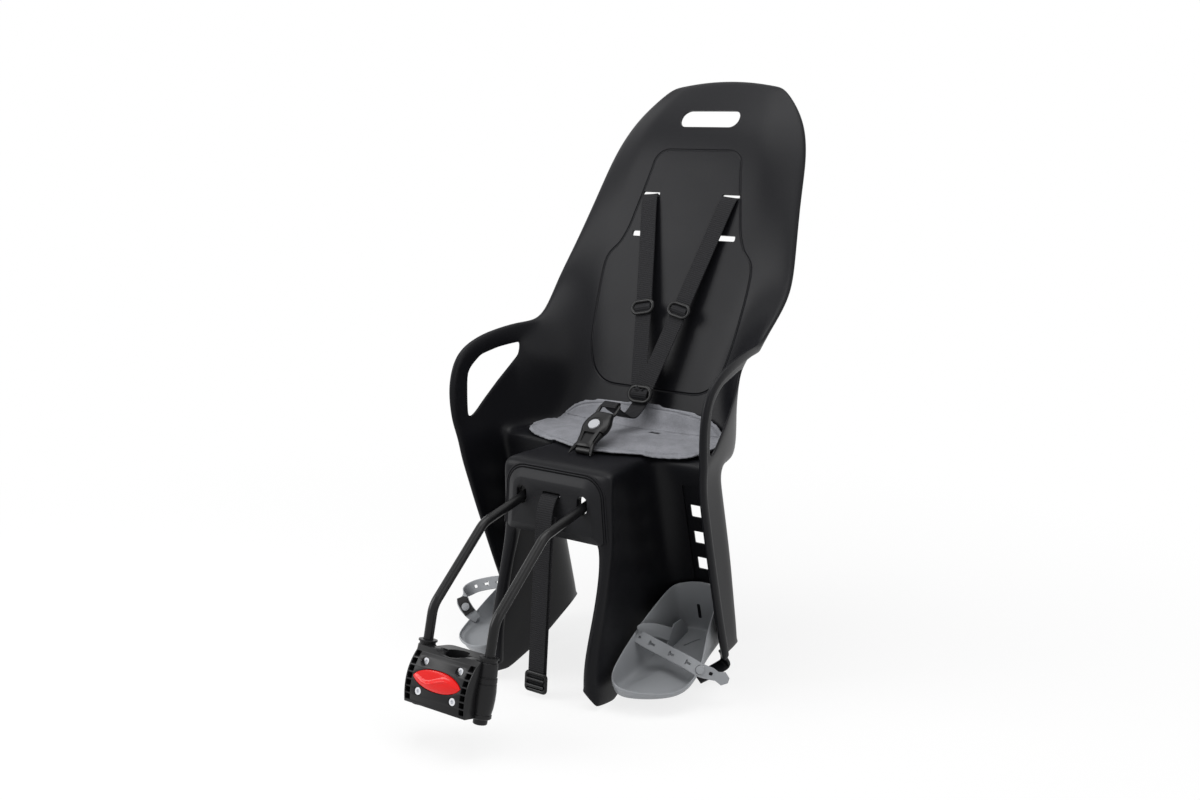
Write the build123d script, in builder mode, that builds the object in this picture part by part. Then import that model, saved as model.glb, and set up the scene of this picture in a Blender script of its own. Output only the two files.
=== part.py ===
from build123d import *

import os
from math import cos, radians, sin, tan

# Frame: origin on the seat tube's axis in the middle of the clamp block, +Z up, the child faces -Y,
# +X is the child's left. All sizes are in millimetres and degrees.

# How far cuts run past a face and joined bodies lap, and a size larger than the whole object
LAP = 1.0
STOCK = 1000.0

# Seat tube and clamp block, measured along and across the leaning tube
TUBE_LEAN = 15.0
TUBE_D = 28.6
BLOCK_TOP = 27.0
BLOCK_BOTTOM = -38.0
COVER_HALF = 46.0
COVER_FRONT = 31.5
COVER_FRONT_Z = -10.0
COVER_TOP_FRONT = 14.0
COVER_FOOT_FRONT = 28.0
SPLIT = 1.0
JAW_DEPTH = 27.0
JAW_ROUND = 8.0
SOCKET_W = 26.0
SOCKET_FRONT = 20.0
SOCKET_BACK = 17.0
SOCKET_ROUND = 8.0
COLLAR_R = 9.5
COLLAR_H = 6.0
STUB_R = 8.5
STUB_H = 7.0
SOCKET_FLOOR = 3.0
CELL_W = 5.0
CELL_EDGE = 1.5
CELL_Z = -6.5
CELL_H = 5.6
CELL_PITCH = 8.2
CELL_COUNT = 7
CELL_FLOOR = 11.0

# Clamp screws and nuts
SCREW_D = 5.0
SCREW_X = 26.0
SCREW_UP = 12.0
SCREW_DOWN = -22.0
HEAD_R = 4.4
HEAD_H = 5.0
HEAD_SOCKET = 4.0
HEAD_UP_Y = -22.5
HEAD_DOWN_Y = -30.0
SCREW_ROOM = 0.25
NUT_AF = 8.0
NUT_H = 4.0
NUT_SINK = 2.0

# Release button, its spring and the latch plate behind it
BUTTON_HALF = 36.0
BUTTON_RISE = 12.0
BUTTON_Z = -5.5
BUTTON_PROUD = 4.5
BUTTON_DEPTH = 10.0
BUTTON_ROUND = 3.0
BUTTON_GAP = 0.35
BUTTON_TRAVEL = 4.0
LATCH_T = 1.5
LATCH_HALF = 24.0
LATCH_H = 9.0
LATCH_ROUND = 2.0
SPRING_R = 4.0
SPRING_WIRE = 0.9
SPRING_TURNS = 3.0

# Carrier bow: steel rod in side view (Y, Z), both sides, closed under the pan
ROD_D = 12.0
ROD_X = 47.0
ROD_FIT = 0.08
ROD_SEAT = 0.3
ROD_BEND = 30.0
ROD_RISE = 72.0
ROD_KNEE = (113.0, 147.0)
BOW_END = (362.0, 197.0)
BOW_CORNER = 22.0

# Shell
WALL = 4.0
PAN_TOP = 210.0
PAN_FRONT = 304.0
BACK_FOOT = 398.0
RECLINE = 20.0
PAN_HALF_FRONT = 177.0
PAN_HALF_REAR = 172.0
PAN_CORNER = 74.0
LIP_ROUND = 24.0
LIP_DROP = 70.0
LIP_LAP = 8.0
# back stations: height up the back, middle of the back, half width and reach of the rim forward
STATIONS = [
    (-60.0, 0.0, 183.0, 148.0),
    (-30.0, 0.0, 185.0, 163.0),
    (0.0, 0.0, 187.0, 184.0),
    (30.0, 0.0, 188.0, 184.0),
    (58.0, 0.0, 188.0, 169.0),
    (84.0, 0.0, 186.0, 146.0),
    (108.0, 0.0, 181.5, 110.0),
    (130.0, 0.0, 175.0, 64.0),
    (160.0, 0.0, 175.0, 30.0),
    (205.0, 0.0, 180.0, 4.0),
    (260.0, -2.0, 175.0, -8.0),
    (335.0, -1.0, 165.0, -20.0),
    (405.0, -1.0, 156.0, -33.0),
    (460.0, -12.0, 142.0, -46.0),
    (525.0, -48.0, 118.0, -78.0),
]
# how a section goes from the middle to the rim: a bucket at the pan, rounder at the hips, rolled back above
BUCKET_ACROSS = (0.40, 0.66, 0.77, 0.875, 0.96, 1.0)
BUCKET_REACH = (0.0, 0.005, 0.07, 0.26, 0.55, 1.0)
HIP_ACROSS = (0.40, 0.63, 0.755, 0.865, 0.95, 1.0)
HIP_REACH = (0.0, 0.045, 0.27, 0.50, 0.72, 1.0)
HIP_FULL = 80.0
ROLL_ACROSS = (0.40, 0.58, 0.69, 0.79, 0.89, 1.0)
ROLL_REACH = (0.02, 0.06, 0.14, 0.36, 0.66, 1.0)
ROLL_START = 100.0
ROLL_FULL = 240.0
# outline of the top, half widths by height up the back
ARCH = [(184.0, 262.0), (166.0, 335.0), (147.0, 424.0), (116.0, 480.0)]
ARCH_TOP = 517.0
HANDLE_W = 95.0
HANDLE_H = 27.0
HANDLE_ROUND = 12.5
HANDLE_UP = 451.0
BACK_CUT = 120.0
SLOT_W = 28.0
SLOT_H = 8.0
SLOT_ROUND = 2.5
SLOT_UP = (64.0, 336.0)
SLOT_LOW = (69.0, 279.0)
ARM_HOLE = [(253.0, 232.0), (254.0, 298.0), (284.0, 315.0), (351.0, 324.0)]
ARM_HOLE_ROUND = 7.0

# Leg guards: a channel behind each leg, leaning back downwards
GUARD_LEAN = 14.7
GUARD_X = 74.0
GUARD_OUT_TOP = 183.0
GUARD_OUT_FOOT = 166.0
GUARD_LENGTH = 310.0
GUARD_ABOVE = 60.0
GUARD_REACH = 240.0
GUARD_ROUND = 24.0
SHIELD = [(197.0, 206.0), (199.0, 118.0), (154.0, -42.0), (168.0, -68.0), (196.0, -70.0), (340.0, -16.0),
          (420.0, -16.0), (420.0, 206.0)]
SHIELD_ROUNDS = [6.0, 30.0, 14.0, 14.0, 10.0, 3.0, 3.0, 6.0]
STRIP = [(238.0, 207.5), (243.0, 183.0), (281.0, 71.0), (318.0, -36.0), (330.0, -48.0), (361.0, -33.0),
         (420.0, -33.0), (420.0, 207.5)]
EDGE_RIB = 22.0
EDGE_RIB_D = 16.0
EDGE_X = 67.0
EDGE_ROUND = 7.0
EDGE_LENGTH = 165.0
TRACK_X = 130.0
TRACK_W = 30.0
TRACK_DEPTH = 2.0
TRACK_HOLE_W = 16.0
TRACK_HOLE_H = 18.0
TRACK_HOLE_ROUND = 1.5
TRACK_PITCH = 39.0
TRACK_COUNT = 4
TRACK_TOP = 73.0

# Bridge at the front of the pan and the plate on it
BRIDGE_FRONT = 197.0
BRIDGE_FOOT = 118.0
BRIDGE_ROUND = 10.0
PLATE_T = 6.0
PLATE_HALF_TOP = 70.0
PLATE_HALF_FOOT = 78.0
PLATE_TOP = 200.0
PLATE_FOOT = 116.0
PLATE_ROUND = 24.0
PLATE_FOOT_ROUND = 6.0
PLATE_RIM = 7.0
PLATE_SINK = 1.5
ROD_HOLE_W = 15.0
ROD_HOLE_H = 27.0
STRAP_SLOT_W = 27.0
STRAP_SLOT_H = 5.0
STRAP_SLOT_ROUND = 2.0
STRAP_Z = 172.0

# Bow clamp under the pan
CLAMP_Y = 322.0
CLAMP_D = 24.0
CLAMP_HALF = 60.0
CLAMP_H = 11.0
CLAMP_ROUND = 4.0
BOW_ROOM = 0.15
BOW_SCREW_X = 27.0
BOW_SCREW_BITE = 10.0

# Straps and harness
WEB_W = 25.0
WEB_T = 1.8
WEB_ROOM = 0.3
WEB_LIFT = 1.5
WEB_SLOT_DROP = 2.0
WEB_THROUGH = 12.4
STRAP_T = 3.6
STRAP_PATH = [(207.0, 172.0), (182.0, 172.0), (172.0, 150.0), (154.0, -72.0)]
STRAP_BEND = 8.0
SLIDE_W = 33.0
SLIDE_H = 24.0
SLIDE_T = 4.0
SLIDE_ROUND = 3.0
SLIDE_Z = -56.0
JOIN_W = 40.0
JOIN_UP = 50.0
JOIN_OUT = 27.0
JOIN_STACK = 2.6
JOIN_SIDE = 6.5
JOIN_GAP = 2.2
STOP_L = 36.0
STOP_D = 5.0
OVAL_W = 38.0
OVAL_H = 20.0
OVAL_T = 3.0
ADJUST_AT = 0.60

# Buckle, leaning back over the pad from its anchor at the front of the pan
BUCKLE_Y = 250.0
BUCKLE_LEAN = 35.0
BUCKLE_START = 18.0
BUCKLE_L = 50.0
BUCKLE_W = 36.0
BUCKLE_T = 15.0
BUCKLE_FOOT_W = 29.0
BUCKLE_FOOT_T = 12.0
BUCKLE_TAPER = 22.0
BUCKLE_ROUND = 5.0
PRESS_R = 8.0
PRESS_AT = 44.0
PRESS_T = 5.0
PRESS_ROUND = 0.8
PRESS_PROUD = 1.2
PRESS_GAP = 0.3
PRESS_TRAVEL = 2.5
TONGUE_W = 27.0
TONGUE_T = 2.5
TONGUE_GRIP_T = 5.0
TONGUE_ROUND = 2.2
TONGUE_IN = 10.0
TONGUE_OUT = 20.0
TONGUE_DROP = -2.0
TONGUE_GAP = 1.2
ANCHOR_W = 32.0
ANCHOR_D = 18.0
ANCHOR_H = 9.0
ANCHOR_ROUND = 5.0

# Seat pad
PAD_T = 9.0
PAD_FRONT = 263.0
PAD_REAR = 386.0
PAD_NOSE = 68.0
PAD_INNER = (72.0, 300.0)
PAD_SHOULDER = 312.0
PAD_HALF = 138.0
PAD_ROUNDS = [14.0, 16.0, 14.0, 55.0]
PAD_ROOM = 0.3

# Footrest, left one; the right one mirrors it
FOOT_IN = 88.0
FOOT_OUT = 157.0
FOOT_FLOOR = -64.0
FOOT_WALL = 3.0
FOOT_HEEL_TOP = 31.0
FOOT_GAP = 1.0
FOOT_SIDE = [(258.0, 1.0), (188.0, -38.0)]
FOOT_TOE = 184.0
FOOT_TOE_ROUND = 26.0
FOOT_HEEL_ROUND = 14.0
FOOT_TOP_L = 8.0
FOOT_LOW = [(330.0, -6.0), (288.0, -50.0), (180.0, -50.0)]
FOOT_LOW_IN = 5.0
RUNNER_ROOM = 0.4
RUNNER_AT = 218.0
RUNNER_L = 46.0
BAND_W = 20.0
BAND_T = 2.5
BAND_Y = 262.0
BAND_PATH = [(92.6, -20.0), (92.6, 4.0), (112.0, 2.0), (160.0, -50.0), (202.0, -76.0)]
BAND_BEND = 5.0
STUD_R = 4.0
STUD_HEAD_R = 6.5
STUD_HEAD_T = 2.0
STUD_L = 9.0
STUD_X = 155.5

# Directions and planes that the sizes above give
lean = radians(TUBE_LEAN)
tube_up = Vector(0, sin(lean), cos(lean))
tube_back = Vector(0, cos(lean), -sin(lean))
back_up = Vector(0, sin(radians(RECLINE)), cos(radians(RECLINE)))
back_out = Vector(0, -cos(radians(RECLINE)), sin(radians(RECLINE)))
back_base = Vector(0, BACK_FOOT, PAN_TOP)
guard_up = Vector(0, -sin(radians(GUARD_LEAN)), cos(radians(GUARD_LEAN)))
guard_out = Vector(0, -cos(radians(GUARD_LEAN)), -sin(radians(GUARD_LEAN)))
guard_base = Vector(0, PAN_FRONT, PAN_TOP)
buckle_up = Vector(0, cos(radians(BUCKLE_LEAN)), sin(radians(BUCKLE_LEAN)))
buckle_out = Vector(0, -sin(radians(BUCKLE_LEAN)), cos(radians(BUCKLE_LEAN)))
rod_r = ROD_D / 2
bore_r = TUBE_D / 2
across = Vector(1, 0, 0)


def block_across(height):
    """Plane across the seat tube at a height along it."""
    return Plane(origin=tube_up * height, x_dir=across, z_dir=tube_up)


def block_side(x):
    """Plane of the block's side view, at X."""
    return Plane(origin=(x, 0, 0), x_dir=tube_back, z_dir=across)


def block_front(depth):
    """Plane that faces forward, at a depth in front of the tube's axis."""
    return Plane(origin=tube_back * -depth, x_dir=across, z_dir=tube_back * -1)


def back_plane(out=0.0):
    """Plane along the back, X across and height up the back, facing the child."""
    return Plane(origin=back_base + back_out * out, x_dir=across, z_dir=back_out)


def rib_plane(height):
    """Plane across the back at a height up it; its second axis points backwards."""
    return Plane(origin=back_base + back_up * height, x_dir=across, z_dir=back_up)


def guard_plane(height):
    """Plane across the leg guard at a height along it; its second axis points backwards."""
    return Plane(origin=guard_base + guard_up * height, x_dir=across, z_dir=guard_up)


def back_point(x, height, out):
    """Point given across, up and out of the back."""
    return back_base + across * x + back_up * height + back_out * out


def blend(a, b, share):
    """Value between a and b."""
    return a + (b - a) * share


def rib_outline(station):
    """Front and rear lines of one section of the back, from the right rim to the left rim."""
    height, middle, half, reach = station
    hip = min(max(height / HIP_FULL, 0.0), 1.0)
    roll = min(max((height - ROLL_START) / (ROLL_FULL - ROLL_START), 0.0), 1.0)
    roll = roll * roll * (3 - 2 * roll)
    side = []
    for i in range(len(BUCKET_ACROSS)):
        x = blend(blend(BUCKET_ACROSS[i], HIP_ACROSS[i], hip), ROLL_ACROSS[i], roll)
        n = blend(blend(BUCKET_REACH[i], HIP_REACH[i], hip), ROLL_REACH[i], roll)
        side.append((half * x, -middle - (reach - middle) * n))
    front = [(-x, y) for x, y in reversed(side)] + [(0.0, -middle)] + side
    rear = []
    for i, point in enumerate(front):
        ahead = Vector(*front[min(i + 1, len(front) - 1)])
        behind = Vector(*front[max(i - 1, 0)])
        run = (ahead - behind).normalized()
        rear.append((point[0] - run.Y * WALL, point[1] + run.X * WALL))
    return front, rear


def lens(half, rise, grow):
    """Draw the button's outline, two arcs, grown by a clearance."""
    ThreePointArc((-half - grow, BUTTON_Z), (0, BUTTON_Z + rise + grow), (half + grow, BUTTON_Z))
    ThreePointArc((half + grow, BUTTON_Z), (0, BUTTON_Z - rise - grow), (-half - grow, BUTTON_Z))


def rod_axis(y):
    """Height of the bow's axis under the pan at Y."""
    slope = (BOW_END[1] - ROD_KNEE[1]) / (BOW_END[0] - ROD_KNEE[0])
    return ROD_KNEE[1] + slope * (y - ROD_KNEE[0])


def track_spot(z):
    """Y of the footrest's heel at height Z, just in front of the guard's rear wall."""
    return PAN_FRONT + (PAN_TOP - z) * tan(radians(GUARD_LEAN)) - FOOT_GAP / cos(radians(GUARD_LEAN))


rod_run = Vector(0, BOW_END[0] - ROD_KNEE[0], BOW_END[1] - ROD_KNEE[1])
bow_plane = Plane(origin=(0, CLAMP_Y, rod_axis(CLAMP_Y)), x_dir=across, z_dir=rod_run)
bow_screw_top = rod_axis(CLAMP_Y) + BOW_SCREW_BITE
track_plane = Plane(origin=guard_base, x_dir=across, z_dir=guard_out)
edge_run = Vector(0, *SHIELD[2]) - Vector(0, *SHIELD[1])
edge_plane = Plane(origin=(0, *SHIELD[1]), x_dir=across, z_dir=edge_run)
band_run = Vector(BAND_PATH[3][0] - BAND_PATH[2][0], 0, BAND_PATH[3][1] - BAND_PATH[2][1])
stud_z = BAND_PATH[2][1] + band_run.Z / band_run.X * (STUD_X - BAND_PATH[2][0])
stud_spot = Vector(STUD_X, BAND_Y + BAND_W / 2, stud_z)
stud_plane = Plane(origin=stud_spot, x_dir=(0, 1, 0), z_dir=Vector(-band_run.Z, 0, band_run.X))
screw_places = [(x, z, y) for x in (-SCREW_X, SCREW_X)
                for z, y in ((SCREW_UP, HEAD_UP_Y), (SCREW_DOWN, HEAD_DOWN_Y))]
button_front = COVER_FRONT + BUTTON_PROUD
button_back = button_front - BUTTON_DEPTH
spring_pressed = SPRING_TURNS * SPRING_WIRE
pocket_floor = button_back - BUTTON_TRAVEL - spring_pressed - LATCH_T

socket_floor = BLOCK_BOTTOM + LAP - STUB_H + SOCKET_FLOOR

# Front half of the clamp block with the rod sockets
with BuildPart() as clamp_body:
    with BuildSketch(block_side(-COVER_HALF)):
        with BuildLine():
            foot = (-COVER_FOOT_FRONT, BLOCK_BOTTOM)
            top = (-COVER_TOP_FRONT, BLOCK_TOP)
            ThreePointArc(foot, (-COVER_FRONT, COVER_FRONT_Z), top)
            Polyline(top, (-SPLIT / 2, BLOCK_TOP), (-SPLIT / 2, BLOCK_BOTTOM), foot)
        make_face()
    extrude(amount=2 * COVER_HALF)
    with BuildSketch(block_across(BLOCK_BOTTOM)):
        with Locations((-ROD_X, (SOCKET_BACK - SOCKET_FRONT) / 2), (ROD_X, (SOCKET_BACK - SOCKET_FRONT) / 2)):
            RectangleRounded(SOCKET_W, SOCKET_FRONT + SOCKET_BACK, SOCKET_ROUND)
    extrude(amount=BLOCK_TOP - BLOCK_BOTTOM - LAP)
    with BuildSketch(block_across(BLOCK_TOP - 2 * LAP)):
        with Locations((-ROD_X, 0), (ROD_X, 0)):
            Circle(COLLAR_R)
    extrude(amount=COLLAR_H)
    with BuildSketch(block_across(BLOCK_BOTTOM + LAP)):
        with Locations((-ROD_X, 0), (ROD_X, 0)):
            Circle(STUB_R)
    extrude(amount=-STUB_H)
    with BuildSketch(block_across(BLOCK_BOTTOM - LAP)):
        Circle(bore_r)
    extrude(amount=BLOCK_TOP - BLOCK_BOTTOM + 2 * LAP, mode=Mode.SUBTRACT)
    with BuildSketch(block_across(socket_floor)):
        with Locations((-ROD_X, 0), (ROD_X, 0)):
            Circle(rod_r + ROD_FIT)
    extrude(amount=BLOCK_TOP - BLOCK_BOTTOM + STUB_H + COLLAR_H, mode=Mode.SUBTRACT)
    with BuildSketch(block_front(CELL_FLOOR)):
        for side in (-1, 1):
            with Locations((side * (COVER_HALF - CELL_EDGE - CELL_W / 2), CELL_Z)):
                with GridLocations(1, CELL_PITCH, 1, CELL_COUNT):
                    Rectangle(CELL_W, CELL_H)
    extrude(amount=COVER_FRONT, mode=Mode.SUBTRACT)
    for x, z, y in screw_places:
        with BuildSketch(block_front(-y - HEAD_H)):
            with Locations((x, z)):
                Circle(HEAD_R + SCREW_ROOM)
        extrude(amount=COVER_FRONT, mode=Mode.SUBTRACT)
        with BuildSketch(block_front(0)):
            with Locations((x, z)):
                Circle(SCREW_D / 2 + SCREW_ROOM)
        extrude(amount=COVER_FRONT, mode=Mode.SUBTRACT)
    with BuildSketch(block_front(pocket_floor)):
        with BuildLine():
            lens(BUTTON_HALF, BUTTON_RISE, BUTTON_GAP)
        make_face()
    extrude(amount=COVER_FRONT, mode=Mode.SUBTRACT)
clamp_body.part.label = "clamp_body"

# Rear half of the block
jaw_half = ROD_X - SOCKET_W / 2 - SPLIT / 2
jaw_nut_floor = JAW_DEPTH - NUT_SINK - NUT_H
with BuildPart() as clamp_jaw:
    with BuildSketch(block_across(BLOCK_BOTTOM)):
        with Locations((0, (SPLIT / 2 + JAW_DEPTH) / 2)):
            Rectangle(2 * jaw_half, JAW_DEPTH - SPLIT / 2)
    extrude(amount=BLOCK_TOP - BLOCK_BOTTOM)
    rear_edges = clamp_jaw.edges().filter_by(Axis((0, 0, 0), tube_up)).group_by(Axis((0, 0, 0), tube_back))[-1]
    fillet(rear_edges, JAW_ROUND)
    with BuildSketch(block_across(BLOCK_BOTTOM - LAP)):
        Circle(bore_r)
    extrude(amount=BLOCK_TOP - BLOCK_BOTTOM + 2 * LAP, mode=Mode.SUBTRACT)
    for x, z, y in screw_places:
        with BuildSketch(block_front(0)):
            with Locations((x, z)):
                Circle(SCREW_D / 2 + SCREW_ROOM)
        extrude(amount=-JAW_DEPTH - LAP, mode=Mode.SUBTRACT)
        with BuildSketch(block_front(-jaw_nut_floor)):
            with Locations((x, z)):
                RegularPolygon(NUT_AF / 2 + SCREW_ROOM, 6, major_radius=False)
        extrude(amount=-NUT_H - NUT_SINK - LAP, mode=Mode.SUBTRACT)
clamp_jaw.part.label = "clamp_jaw"

# Four socket screws, one group
with BuildPart() as clamp_screws:
    for x, z, y in screw_places:
        with BuildSketch(block_front(-y - HEAD_H)):
            with Locations((x, z)):
                Circle(HEAD_R)
        extrude(amount=HEAD_H)
        with BuildSketch(block_front(-y - HEAD_H)):
            with Locations((x, z)):
                Circle(SCREW_D / 2)
        extrude(amount=y + HEAD_H - jaw_nut_floor - NUT_H)
        with BuildSketch(block_front(-y)):
            with Locations((x, z)):
                RegularPolygon(HEAD_SOCKET / 2, 6, major_radius=False)
        extrude(amount=-HEAD_H / 2, mode=Mode.SUBTRACT)
clamp_screws.part.label = "clamp_screws"

# Four nuts, one group
with BuildPart() as clamp_nuts:
    for x, z, y in screw_places:
        with BuildSketch(block_front(-jaw_nut_floor)):
            with Locations((x, z)):
                RegularPolygon(NUT_AF / 2, 6, major_radius=False)
                Circle(SCREW_D / 2, mode=Mode.SUBTRACT)
        extrude(amount=-NUT_H)
clamp_nuts.part.label = "clamp_nuts"

# Latch plate on the floor of the button's pocket
with BuildPart() as latch_plate:
    with BuildSketch(block_front(pocket_floor)):
        with Locations((0, BUTTON_Z)):
            RectangleRounded(2 * LATCH_HALF, LATCH_H, LATCH_ROUND)
    extrude(amount=LATCH_T)
latch_plate.part.label = "latch_plate"

# Red button, lens-shaped and rounded at the front
with BuildPart() as release_button:
    with BuildSketch(block_front(button_back)):
        with BuildLine():
            lens(BUTTON_HALF, BUTTON_RISE, 0.0)
        make_face()
    extrude(amount=BUTTON_DEPTH)
    fillet(release_button.faces().sort_by(Axis((0, 0, 0), tube_back))[0].edges(), BUTTON_ROUND)
release_button.part.label = "release_button"

# Coil spring between the latch plate and the button
spring_length = button_back - pocket_floor - LATCH_T
with BuildPart() as release_spring:
    with BuildLine():
        coil = Helix((spring_length - SPRING_WIRE) / SPRING_TURNS, spring_length - SPRING_WIRE, SPRING_R,
                     center=tube_back * -(pocket_floor + LATCH_T + SPRING_WIRE / 2) + tube_up * BUTTON_Z,
                     direction=tube_back * -1)
    with BuildSketch(Plane(origin=coil @ 0, z_dir=coil % 0)):
        Circle(SPRING_WIRE / 2)
    sweep()
release_spring.part.label = "release_spring"

# Carrier bow
socket_end = socket_floor + ROD_SEAT
bow_side = [(tube_up.Y * socket_end, tube_up.Z * socket_end), (tube_up.Y * ROD_RISE, tube_up.Z * ROD_RISE),
            ROD_KNEE, BOW_END]
bow_points = [(-ROD_X, y, z) for y, z in bow_side] + [(ROD_X, y, z) for y, z in reversed(bow_side)]
with BuildPart() as carrier_bow:
    with BuildLine():
        bow = FilletPolyline(*bow_points, radius=2 * [ROD_BEND] + 2 * [BOW_CORNER] + 2 * [ROD_BEND])
    with BuildSketch(Plane(origin=bow @ 0, z_dir=bow % 0)):
        Circle(rod_r)
    sweep()
carrier_bow.part.label = "carrier_bow"

# Leg guard channel on the left, with its shield towards the wheel and its outer strip
with BuildPart() as guards:
    for height, out in ((-GUARD_LENGTH, GUARD_OUT_FOOT), (GUARD_ABOVE, GUARD_OUT_TOP)):
        with BuildSketch(guard_plane(height)):
            with BuildLine():
                FilletPolyline((GUARD_X, -GUARD_REACH), (GUARD_X, WALL / 2),
                               (out, WALL / 2), (out, -GUARD_REACH), radius=GUARD_ROUND)
            trace(line_width=WALL)
    loft()
    with BuildSketch(Plane.YZ.offset(GUARD_X - WALL)):
        Rectangle(2 * STOCK, 2 * STOCK)
        with BuildLine(mode=Mode.PRIVATE) as shield_line:
            FilletPolyline(*SHIELD, radius=SHIELD_ROUNDS, close=True)
        make_face(shield_line.edges(), mode=Mode.SUBTRACT)
    extrude(amount=WALL + GUARD_ROUND, mode=Mode.SUBTRACT)
    with BuildSketch(Plane.YZ.offset(GUARD_X + GUARD_ROUND)):
        Rectangle(2 * STOCK, 2 * STOCK)
        with BuildLine(mode=Mode.PRIVATE) as strip_line:
            Polyline(*STRIP, close=True)
        make_face(strip_line.edges(), mode=Mode.SUBTRACT)
    extrude(amount=GUARD_OUT_TOP, mode=Mode.SUBTRACT)
    with BuildSketch(Plane.YZ.offset(GUARD_X + GUARD_ROUND)):
        with Locations((PAN_FRONT, PAN_TOP)):
            Rectangle(2 * LIP_DROP, 2 * (LIP_DROP - LIP_LAP))
    extrude(amount=GUARD_OUT_TOP - GUARD_X - 2 * GUARD_ROUND - LIP_LAP, mode=Mode.SUBTRACT)
    mirror(about=Plane.YZ)

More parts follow.
